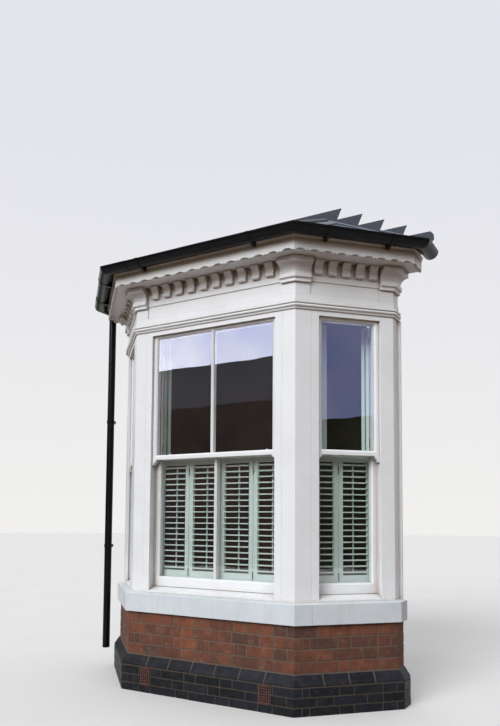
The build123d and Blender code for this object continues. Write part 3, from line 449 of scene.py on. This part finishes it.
# Sawn pine, never painted: yellow-brown with darker latewood
def sawn_pine():
    finish, tree, shader, place = new_finish("sawn_pine")
    lengthwise = add_node(tree, "Mapping", {0: place, "Scale": (0.12, 1, 1)})
    grain = mottle(tree, lengthwise, 9, detail=5)
    colour = add_node(tree, "Mix", {0: grain, 6: "#B99268", 7: "#8E6740"}, 2, data_type="RGBA")
    sawn = add_node(tree, "Bump", {"Height": grain, "Distance": 0.5 * MM})
    set_inputs(tree, shader, {"Base Color": colour, "Roughness": 0.8, "Normal": sawn})
    return finish


# Enamelled zinc of the fasteners: smooth and white
def white_enamel():
    finish, tree, shader, place = new_finish("white_enamelled_metal")
    worn = add_node(tree, "MapRange", {0: mottle(tree, place, 8), 1: 0.8, 4: 0.3})
    colour = add_node(tree, "Mix", {0: worn, 6: "#E9EAEA", 7: "#B8B4AA"}, 2, data_type="RGBA")
    set_inputs(tree, shader, {"Base Color": colour, "Roughness": 0.25})
    return finish


# Rolled steel of the hinges, dark with age: dull, and brighter where it is rubbed
def aged_steel():
    finish, tree, shader, place = new_finish("aged_steel")
    rubbed = mottle(tree, place, 6)
    colour = add_node(tree, "Mix", {0: rubbed, 6: "#3A3937", 7: "#54514C"}, 2, data_type="RGBA")
    roughness = add_node(tree, "MapRange", {0: rubbed, 3: 0.6, 4: 0.4})
    set_inputs(tree, shader, {"Base Color": colour, "Roughness": roughness, "Metallic": 0.7})
    return finish


FINISHES = {
    "white_gloss_paint": white_gloss_paint(), "shutter_paint": shutter_paint(),
    "sandstone": painted_stone(), "red_brick": red_brick(), "blue_brick": blue_brick(),
    "terracotta": terracotta(), "slate": riven_slate(), "sheet_lead": sheet_lead(),
    "black_iron": black_iron_paint(), "window_glass": window_glass(), "plaster": wall_plaster(),
    "bare_softwood": sawn_pine(), "white_metal": white_enamel(),
}
MORTAR = lime_mortar()
HINGE_STEEL = aged_steel()

for row in subparts:
    node = nodes[row["node"]]
    node.data.materials.clear()
    node.data.materials.append(FINISHES[row["material_slot"]])

# Panes are hidden from shadow rays and from rays that light other surfaces, so that light counts once
for name in ("glass_front", "glass_left", "glass_right"):
    nodes[name].visible_shadow = False
    nodes[name].visible_diffuse = False


# Worn and painted-over arrises on the CAD pieces
def soften(name, width, segments=2):
    """Welds a node's triangles, clears the flat ones and rounds its sharp edges."""
    piece = nodes[name]
    weld = piece.modifiers.new("weld", "WELD")
    weld.merge_threshold = TOLERANCE
    plain = piece.modifiers.new("plain", "DECIMATE")
    plain.decimate_type = "DISSOLVE"
    plain.angle_limit = math.radians(FLAT_ANGLE)
    arris = piece.modifiers.new("arris", "BEVEL")
    arris.width = width
    arris.segments = segments
    arris.limit_method = "ANGLE"
    arris.angle_limit = math.radians(SHARP_ANGLE)


for row in subparts:
    if row["material_slot"] == "white_gloss_paint" and row["node"] != "scalloped_fascia":
        soften(row["node"], TIMBER_ARRIS)
soften("stone_sill", STONE_ARRIS, segments=3)


# New pieces
def finish_piece(shape, name, material, slot, *replaced):
    """Turns a shape into a piece of the object that rides with it."""
    bmesh.ops.recalc_face_normals(shape, faces=shape.faces)
    mesh = bpy.data.meshes.new(name)
    shape.to_mesh(mesh)
    shape.free()
    mesh.materials.append(material)
    piece = bpy.data.objects.new(name, mesh)
    bpy.context.scene.collection.objects.link(piece)
    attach(piece, "root")
    if replaced:
        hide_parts(*replaced)


# Shutter hinges
def knuckle(shape, x, y, bottom):
    """Half of a hinge's barrel, stood at a place, with its rims eased."""
    middle = Matrix.Translation((x, y, bottom + KNUCKLE_LENGTH / 2))
    barrel = bmesh.ops.create_cone(shape, cap_ends=True, segments=KNUCKLE_SIDES, radius1=KNUCKLE_RADIUS,
                                   radius2=KNUCKLE_RADIUS, depth=KNUCKLE_LENGTH, matrix=middle)
    edges = dict.fromkeys(edge for vertex in barrel["verts"] for edge in vertex.link_edges)
    rims = [edge for edge in edges if abs(edge.verts[0].co.z - edge.verts[1].co.z) < TOLERANCE]
    bmesh.ops.bevel(shape, geom=rims, offset=KNUCKLE_EASE, offset_type="OFFSET", affect="EDGES", segments=2,
                    profile=0.5, material=-1, clamp_overlap=True)


def shutter_hinges():
    """Barrels at the frame edge of every pair of leaves, and where its two leaves meet."""
    shape = bmesh.new()
    front_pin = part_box("lower_shutters_front")[1].x - PIN_RADIUS
    pairs = ((FRONT, HALF_FRONT + front_pin, front_pin / 2), (FRONT + 1, CANT_PIN_PLACE, CANT_LEAF))
    for (foot, top, swing), (face, along, leaf) in itertools.product(SHUTTER_TIERS, pairs):
        angle = math.radians(swing)
        _, ahead, outward, _ = FACES[face]
        pin = on_face(face, along, -PIN_DEPTH)
        leaf_run = -ahead * math.cos(angle) - outward * math.sin(angle)
        roomward = -outward * math.cos(angle) + ahead * math.sin(angle)
        fold = pin + leaf_run * leaf - roomward * FOLD_DEPTH
        for place, side in itertools.product((pin, fold), (-1, 1)):
            for height in (foot + HINGE_INSET, top - HINGE_INSET):
                knuckle(shape, side * place.x, place.y, height)
                knuckle(shape, side * place.x, place.y, height - KNUCKLE_GAP - KNUCKLE_LENGTH)
    finish_piece(shape, "shutter_hinges", HINGE_STEEL, "white_metal")


# Brickwork
def brick_plan(ends, reach):
    """A brick's plan points on one line: ends are places (face, along), with None for a corner."""
    (first, start), (last, end) = ends
    corners = stops(reach)
    points = [corners[first] if start is None else on_face(first, start, reach)]
    points += corners[first + 1:last + 1]
    points.append(corners[last + 1] if end is None else on_face(last, end, reach))
    return points


def lay_brick(shape, tone_layer, ends, levels, inner):
    """One brick through levels of (height, reach), back to an inner reach, with its own shade."""
    shade = random.random()
    lean = random.uniform(-BRICK_LEAN, BRICK_LEAN)
    back = list(reversed(brick_plan(ends, inner)))
    rings = []
    for height, reach in levels:
        plan = brick_plan(ends, reach + lean) + back
        rings.append([shape.verts.new((p.x, p.y, height)) for p in plan])
    for lower, upper in zip(rings, rings[1:]):
        for n in range(len(lower)):
            m = (n + 1) % len(lower)
            shape.faces.new((lower[n], lower[m], upper[m], upper[n]))
    shape.faces.new(list(reversed(rings[0])))
    shape.faces.new(rings[-1])
    for vertex in itertools.chain(*rings):
        vertex[tone_layer] = shade


def lay_run(start, end, pattern):
    """Places of bricks in turn from a pattern of lengths, stretched a little to fill a run."""
    lengths = list(itertools.islice(itertools.cycle(pattern), MOST_BRICKS))
    fits = []
    for count in range(1, MOST_BRICKS + 1):
        total = sum(lengths[:count])
        clear = end - start - (count - 1) * JOINT
        misfit = abs(math.log(max(clear, JOINT) / total))
        fits.append((misfit, count, clear / total))
    _, count, stretch = min(fits)
    places = []
    at = start
    for length in lengths[:count]:
        places.append((at, at + length * stretch))
        at += length * stretch + JOINT
    return places


def face_places(begin, stop, gaps):
    """Places of the bricks of a face between its corner bricks, in runs beside its gaps."""
    runs = [begin + JOINT]
    for gap_start, gap_end in gaps:
        runs += [gap_start - JOINT, gap_end + JOINT]
    runs.append(stop - JOINT)
    pattern = [STRETCHER, HEADER] if begin < CLOSER_LIMIT else [HEADER, STRETCHER]
    places = []
    if begin < CLOSER_LIMIT:
        places.append((runs[0], runs[0] + CLOSER))
        runs[0] += CLOSER + JOINT
    for start, end in zip(runs[::2], runs[1::2]):
        places += lay_run(start, end, pattern)
    return places


def course_places(course, reach, gaps):
    """The ends of every brick of a course, with bent bricks round the corners."""
    gain = reach * math.tan(HALF_TURN)
    two_ways = ((LONG_LEG, SHORT_LEG), (SHORT_LEG, LONG_LEG))
    legs = [two_ways[(course + corner) % 2] for corner in range(LAST)]
    places = []
    for face, (_, _, _, length) in enumerate(FACES):
        begin = 0 if face == 0 else legs[face - 1][1] - gain
        stop = length if face == LAST else length - legs[face][0] + gain
        if 0 < face < LAST:
            spans = face_places(begin, stop, gaps if face == FRONT else ())
        else:
            begin, stop = max(begin, 0), min(stop, length)
            spans = [(begin + JOINT, stop) if face == LAST else (begin, stop - JOINT)]
            if stop - begin <= 2 * JOINT:
                spans = []
        places += [((face, start), (face, end)) for start, end in spans]
    for corner, (before_leg, after_leg) in enumerate(legs):
        before = max(FACES[corner][3] - before_leg + gain, 0)
        after = min(after_leg - gain, FACES[corner + 1][3])
        places.append(((corner, before), (corner + 1, after)))
    return places


def break_skin(shape, depth):
    """Rounds the arrises of bricks, divides their long edges and roughens them, as fired clay is."""
    bmesh.ops.bevel(shape, geom=shape.edges[:], offset=BRICK_ARRIS, offset_type="OFFSET", affect="EDGES",
                    segments=2, profile=0.5, material=-1, clamp_overlap=True)
    long_edges = [edge for edge in shape.edges if edge.calc_length() > LONG_EDGE]
    bmesh.ops.subdivide_edges(shape, edges=long_edges, cuts=EDGE_CUTS, use_grid_fill=True)
    for vertex in shape.verts:
        shift = noise.noise_vector(vertex.co / SKIN_SIZE)
        chip = noise.noise_vector(vertex.co / CHIP_SIZE)
        vertex.co += (shift + chip * CHIP_SHARE) * depth
        vertex.co.z = max(vertex.co.z, 0)


def brick_leaf(shape, tone_layer, course, bottom, gauge, outer, inner, gaps=()):
    """One course of a leaf of brickwork."""
    levels = [(bottom, outer), (bottom + gauge - JOINT, outer)]
    for ends in course_places(course, outer, gaps):
        lay_brick(shape, tone_layer, ends, levels, inner)


def brick_wall(name, node, slot, courses, gauge, outer, gaps=()):
    """Both leaves of a wall of whole courses, in place of a CAD wall, with gaps from its second course."""
    shape = bmesh.new()
    tone_layer = shape.verts.layers.float.new("tone")
    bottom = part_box(node)[0].z
    middle = (outer + INNER_REACH) / 2
    for course in range(courses):
        foot = bottom + course * gauge
        outer_gaps = gaps if course > 0 else ()
        brick_leaf(shape, tone_layer, course, foot, gauge, outer, middle + COLLAR_JOINT / 2, outer_gaps)
        brick_leaf(shape, tone_layer, course + 1, foot, gauge, middle - COLLAR_JOINT / 2, INNER_REACH)
    break_skin(shape, WALL_SKIN)
    finish_piece(shape, name, FINISHES[slot], slot, node)


def splay_bricks():
    """The sloping course, mitred at the corners, with plain bricks behind it."""
    shape = bmesh.new()
    tone_layer = shape.verts.layers.float.new("tone")
    low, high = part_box("splay_course")
    slope = (PLINTH_REACH - BRICK_REACH) / (high.z - low.z - SPLAY_NOSE)
    levels = [(low.z, PLINTH_REACH), (low.z + SPLAY_NOSE, PLINTH_REACH),
              (high.z - JOINT, BRICK_REACH + slope * JOINT)]
    middle = (BRICK_REACH + INNER_REACH) / 2
    gap = JOINT / 2
    for face, (_, _, _, length) in enumerate(FACES):
        count = max(1, round(length / (STRETCHER + JOINT)))
        pitch = length / count
        for n in range(count):
            start = None if n == 0 and face > 0 else n * pitch + gap * (n > 0)
            end = None if n == count - 1 and face < LAST else (n + 1) * pitch - gap * (n < count - 1)
            lay_brick(shape, tone_layer, ((face, start), (face, end)), levels, middle + COLLAR_JOINT / 2)
    brick_leaf(shape, tone_layer, 1, low.z, high.z - low.z, middle - COLLAR_JOINT / 2, INNER_REACH)
    break_skin(shape, SPLAY_SKIN)
    finish_piece(shape, "splay_bricks", FINISHES["blue_brick"], "blue_brick", "splay_course")


def mortar_core(name, node):
    """The mortar of a wall: the CAD wall drawn in behind the faces of its bricks."""
    shape = bmesh.new()
    shape.from_mesh(nodes[node].data)
    bmesh.ops.remove_doubles(shape, verts=shape.verts, dist=TOLERANCE)
    shape.normal_update()
    moves = [vertex.normal * vertex.calc_shell_factor() * JOINT_RECESS for vertex in shape.verts]
    for vertex, move in zip(shape.verts, moves):
        vertex.co -= Vector((move.x, move.y, 0))
    finish_piece(shape, name, MORTAR, "red_brick", node)


def sill_joints():
    """The two open joints of the stone sill, filled a little short of its faces and painted over."""
    low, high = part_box("stone_sill")
    nose = high.x - BAY_HALF - JOINT_SINK
    foot, top = low.z + JOINT_SINK, high.z - JOINT_SINK
    section = [(nose, foot), (nose, top - STONE_FALL), (0, top), (-STONE_BACK, top), (-STONE_BACK, foot)]
    left_place = FACES[FRONT - 1][3] - STONE_JOINT_PLACE
    shape = bmesh.new()
    for face, middle in ((FRONT + 1, STONE_JOINT_PLACE), (FRONT - 1, left_place)):
        sides = (middle - STONE_JOINT / 2, middle + STONE_JOINT / 2)
        rings = [[shape.verts.new((*on_face(face, along, reach), z)) for reach, z in section]
                 for along in sides]
        edges = [shape.edges.new((ring[n], ring[n - 1])) for ring in rings for n in range(len(ring))]
        bmesh.ops.bridge_loops(shape, edges=edges)
        for ring in rings:
            shape.faces.new(ring)
    finish_piece(shape, "sill_joint_fill", FINISHES["sandstone"], "sandstone")


# Slates
def slate_slopes():
    """Each slope of the roof as its two eave corners and the point of the ridge over each."""
    eave = [Vector((p.x, p.y, EAVE_HEIGHT)) for p in stops(EAVE_REACH)]
    left, right = [Vector((side * HALF_FRONT, WALL_Y, EAVE_HEIGHT + ROOF_RISE)) for side in (-1, 1)]
    ridge = [left, left, left, right, right, right]
    return zip(eave, eave[1:], ridge, ridge[1:])


def cut_away(shape, point, normal):
    """Cuts a shape by a plane, drops what is beyond it and closes each cut piece."""
    cut = bmesh.ops.bisect_plane(shape, geom=shape.verts[:] + shape.edges[:] + shape.faces[:],
                                 plane_co=point, plane_no=normal, clear_outer=True)
    edges = [element for element in cut["geom_cut"] if isinstance(element, bmesh.types.BMEdge)]
    bmesh.ops.holes_fill(shape, edges=edges, sides=0)


def slate_slope(first, second, peak):
    """The slates of one slope, laid in the frame of its eave and wider than the slope."""
    shape = bmesh.new()
    tone_layer = shape.verts.layers.float.new("tone")
    across = (second - first).normalized()
    outward = across.cross(peak - first).normalized()
    if outward.z < 0:
        outward = -outward
    up_slope = outward.cross(across).normalized()
    run = (second - first).length
    rise = (peak - first).dot(up_slope)
    rows = math.ceil((rise + SLATE_OVERHANG) / SLATE_GAUGE)
    for row in range(rows):
        tail = row * SLATE_GAUGE - SLATE_OVERHANG
        head = tail + SLATE_LENGTH
        at = -SLATE_WIDTH * (1.5 if row % 2 else 1.0)
        while at < run + SLATE_WIDTH:
            ragged = random.uniform(-SLATE_RAGGED, SLATE_RAGGED)
            lift = SLATE_LIFT + random.uniform(0, SLATE_PLAY)
            left, right = at + SLATE_GAP / 2, at + SLATE_WIDTH - SLATE_GAP / 2
            corners = [(left, tail + ragged, lift), (right, tail - ragged, lift), (right, head, 0),
                       (left, head, 0)]
            shade = random.random()
            under = [shape.verts.new(first + across * a + up_slope * b + outward * c) for a, b, c in corners]
            for vertex in under:
                vertex[tone_layer] = shade
            grown = bmesh.ops.extrude_face_region(shape, geom=[shape.faces.new(under)])
            upper = [element for element in grown["geom"] if isinstance(element, bmesh.types.BMVert)]
            bmesh.ops.translate(shape, verts=upper, vec=outward * SLATE_THICK)
            at += SLATE_WIDTH
    return shape


def hip_normal(low, high, inside):
    """The level normal of the upright plane through a hip, away from a point inside the slope."""
    along = high - low
    normal = Vector((along.y, -along.x, 0)).normalized()
    return normal if normal.dot(inside - low) < 0 else -normal


def lay_slates():
    """All five slopes as one piece of real slates, cut along the hips and at the wall."""
    whole = bpy.data.meshes.new("slates_whole")
    joined = bmesh.new()
    joined.verts.layers.float.new("tone")
    for first, second, left, right in slate_slopes():
        shape = slate_slope(first, second, left)
        middle = (first + second + left + right) / 4
        for low, high in ((first, left), (second, right)):
            cut_away(shape, low, hip_normal(low, high, middle))
        cut_away(shape, Vector((0, WALL_Y - WALL_GAP, 0)), Vector((0, 1, 0)))
        shape.to_mesh(whole)
        shape.free()
        joined.from_mesh(whole)
    finish_piece(joined, "slates", FINISHES["slate"], "slate", "roof_slates")


# The air bricks stand in the two upper courses of the plinth
air_low, air_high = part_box("air_bricks")
front_start = FACES[FRONT][0].x
air_starts = [air_low.x - front_start, air_high.x - AIR_BRICK_WIDTH - front_start]
air_gaps = [(start, start + AIR_BRICK_WIDTH) for start in air_starts]
blue_gauge = (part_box("plinth_wall")[1].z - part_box("plinth_wall")[0].z) / BLUE_COURSES
red_gauge = (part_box("stone_sill")[0].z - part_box("dwarf_wall")[0].z) / RED_COURSES

shutter_hinges()
brick_wall("plinth_bricks", "plinth_wall", "blue_brick", BLUE_COURSES, blue_gauge, PLINTH_REACH, air_gaps)
brick_wall("dwarf_wall_bricks", "dwarf_wall", "red_brick", RED_COURSES, red_gauge, BRICK_REACH)
splay_bricks()
sill_joints()
mortar_core("plinth_mortar", "plinth_wall")
mortar_core("splay_mortar", "splay_course")
mortar_core("dwarf_wall_mortar", "dwarf_wall")
lay_slates()


# Stage
def seen_ray(tree):
    """1 for rays from the camera, or from gloss and glass, and 0 for those that light things."""
    path = add_node(tree, "LightPath").node.outputs
    shown = add_node(tree, "Math", {0: path["Is Camera Ray"], 1: path["Is Glossy Ray"]}, operation="MAXIMUM")
    return add_node(tree, "Math", {0: shown, 1: path["Is Transmission Ray"]}, operation="MAXIMUM")


def show_in_part(tree, share, surface):
    """Lets a surface show by a share, and leaves it clear for the rest."""
    clear = add_node(tree, "BsdfTransparent")
    mixed = add_node(tree, "MixShader", {0: share, 1: clear, 2: surface})
    set_inputs(tree, tree.nodes["Material Output"], {0: mixed})


def floor_finish():
    """A floor that looks pale and throws back the light of dull ground."""
    finish, tree, shader, place = new_finish("studio_floor")
    shades = mottle(tree, place, 900)
    pale = add_node(tree, "Mix", {0: shades, 6: "#E6E4E1", 7: "#E3E1DE"}, 2, data_type="RGBA")
    colour = add_node(tree, "Mix", {0: seen_ray(tree), 6: "#543F2A", 7: pale}, 2, data_type="RGBA")
    set_inputs(tree, shader, {"Base Color": colour, "Roughness": 0.9, "Specular IOR Level": 0.0})
    return finish


def room_finish():
    """The dark of a room behind its windows: solid through glass, and thin to the light."""
    finish, tree, shader, _ = new_finish("dark_room")
    set_inputs(tree, shader, {"Base Color": "#1A1513", "Roughness": 1.0, "Specular IOR Level": 0.0})
    through_glass = add_node(tree, "LightPath", output="Is Transmission Ray")
    show_in_part(tree, add_node(tree, "MapRange", {0: through_glass, 3: ROOM_SHADE}), shader.outputs[0])
    return finish


def card_finish(name, first, second, strength, size, glass_only=False):
    """A glowing card in two shades, with soft patches of a real size, clear except to a reflection."""
    finish, tree, _, place = new_finish(name)
    patches = mottle(tree, place, size, detail=3)
    shades = add_node(tree, "Mix", {0: patches, 6: first, 7: second}, 2, data_type="RGBA")
    path = add_node(tree, "LightPath").node.outputs
    shown = add_node(tree, "Math", {0: path["Glossy Depth"], 1: 1.0}, operation="MINIMUM")
    if glass_only:
        shown = add_node(tree, "Math", {0: shown, 1: path["Is Singular Ray"]}, operation="MULTIPLY")
    show_in_part(tree, shown, add_node(tree, "Emission", {0: shades, 1: strength}))
    return finish


def stage_sheet(name, shape, material):
    """Turns a flat shape into a piece of the stage."""
    mesh = bpy.data.meshes.new(name)
    shape.to_mesh(mesh)
    shape.free()
    mesh.materials.append(material)
    sheet = bpy.data.objects.new(name, mesh)
    bpy.context.scene.collection.objects.link(sheet)
    return sheet


def flat_shape(outline):
    """A flat shape inside the points of its outline."""
    shape = bmesh.new()
    shape.faces.new([shape.verts.new(point) for point in outline])
    return shape


def studio_floor():
    """A round floor, far wider than the camera's view."""
    shape = bmesh.new()
    bmesh.ops.create_circle(shape, cap_ends=True, radius=FLOOR_RADIUS, segments=FLOOR_SEGMENTS)
    stage_sheet("floor", shape, floor_finish())


def room_card():
    """A dark card that shows through glass only, narrower where the upper leaves stand folded back."""
    board_top, ceiling_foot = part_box("window_board")[1].z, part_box("ceiling")[0].z
    half = [(POST_INNER, board_top), (POST_INNER, TIER_SPLIT), (SHUTTER_INNER, TIER_SPLIT),
            (SHUTTER_INNER, ceiling_foot)]
    outline = half + [(-x, z) for x, z in reversed(half)]
    shape = flat_shape([(x, WALL_Y + ROOM_CARD_GAP, z) for x, z in outline])
    card = stage_sheet("room_card", shape, room_finish())
    card.visible_camera = False
    card.visible_glossy = False


def mirror_card(name, along_x, place, span, low, high, material):
    """An upright card that only reflections show, level with the x axis or square to it."""
    ends = [(span[0], low), (span[1], low), (span[1], high), (span[0], high)]
    outline = [(a, place, z) if along_x else (place, a, z) for a, z in ends]
    card = stage_sheet(name, flat_shape(outline), material)
    card.visible_camera = False
    card.visible_diffuse = False
    card.visible_shadow = False


studio_floor()
room_card()
mirror_card("street_card", True, STREET_Y, STREET_SPAN, 0, ROOF_FOOT,
            card_finish("street_in_shade", "#2E2826", "#463B36", strength=3.4, size=1500))
mirror_card("street_roof_card", True, STREET_Y, STREET_SPAN, ROOF_FOOT, STREET_TOP,
            card_finish("street_roof_in_shade", "#5C5A60", "#6B686E", strength=2.3, size=1500))
mirror_card("street_sky_card", True, STREET_Y - CARD_GAP, (-26, 0), STREET_TOP - SKY_OVERLAP, SKY_TOP,
            card_finish("street_sky", "#A6B0DE", "#E6E8F8", strength=7.2, size=2600, glass_only=True))
trees = card_finish("trees_in_shade", "#24271C", "#3E402E", strength=2.0, size=700)
mirror_card("right_tree_card", False, TREES_X, (-16, 6), 0, TREES_TOP, trees)
mirror_card("left_tree_card", False, -TREES_X, (-16, 24), 0, TREES_TOP, trees)
mirror_card("tree_sky_card", False, TREES_X + CARD_GAP, (-18, 8), TREES_TOP - SKY_OVERLAP, SKY_TOP,
            card_finish("tree_sky", "#979FD8", "#BFC3E6", strength=2.1, size=2600, glass_only=True))


# Light and camera
def studio_dome():
    """A pale backdrop to rays that are seen, and a dome of soft light to those that light things."""
    world = bpy.data.worlds.new("studio")
    bpy.context.scene.world = world
    world.use_nodes = True
    tree = world.node_tree
    tree.nodes.clear()
    direction = add_node(tree, "TexCoord", output="Generated")
    upward = add_node(tree, "SeparateXYZ", {0: direction}, "Z")
    height = add_node(tree, "MapRange", {0: upward, 2: 0.5})
    backdrop = add_node(tree, "Mix", {0: height, 6: "#F1F0EE", 7: "#E4E5EC"}, 2, data_type="RGBA")
    seen = add_node(tree, "Background", {0: backdrop, 1: 1.0})
    strength = add_node(tree, "MapRange", {0: upward, 2: 0.5, 3: DOME_FOOT, 4: DOME_TOP})
    haze = add_node(tree, "MapRange", {0: upward, 2: 0.3})
    sky = add_node(tree, "Mix", {0: haze, 6: "#F3DCC0", 7: "#F3F5FB"}, 2, data_type="RGBA")
    light = add_node(tree, "Background", {0: sky, 1: strength})
    mixed = add_node(tree, "MixShader", {0: seen_ray(tree), 1: light, 2: seen})
    output = tree.nodes.new("ShaderNodeOutputWorld")
    set_inputs(tree, output, {0: mixed})


def key_sun():
    """One broad soft sun."""
    sun = bpy.data.objects.new("key_sun", bpy.data.lights.new("key_sun", "SUN"))
    bpy.context.scene.collection.objects.link(sun)
    sun.data.energy = SUN_STRENGTH
    sun.data.color = SUN_COLOUR
    sun.data.angle = math.radians(SUN_SPREAD)
    sun.rotation_mode = "QUATERNION"
    sun.rotation_quaternion = (-SUN_FROM).to_track_quat("-Z", "Y")


def photo_camera():
    """A camera that stands and looks as the photo's did, with its lens shifted up."""
    forward = Vector((-math.sin(YAW) * math.cos(PITCH), math.cos(YAW) * math.cos(PITCH), math.sin(PITCH)))
    level_right = Vector((math.cos(YAW), math.sin(YAW), 0))
    right = level_right * math.cos(ROLL) + level_right.cross(forward) * math.sin(ROLL)
    up = right.cross(forward)
    camera = bpy.data.objects.new("camera", bpy.data.cameras.new("camera"))
    bpy.context.scene.collection.objects.link(camera)
    camera.data.sensor_width = SENSOR
    camera.data.lens = FOCAL_PIXELS / PHOTO_HEIGHT * SENSOR
    camera.data.shift_y = (LEVEL_ROW - PHOTO_HEIGHT / 2) / PHOTO_HEIGHT
    camera.matrix_world = Matrix.Translation(EYE) @ Matrix((right, up, -forward)).transposed().to_4x4()
    bpy.context.scene.camera = camera


studio_dome()
key_sun()
photo_camera()
bpy.context.scene.view_settings.view_transform = "Standard"
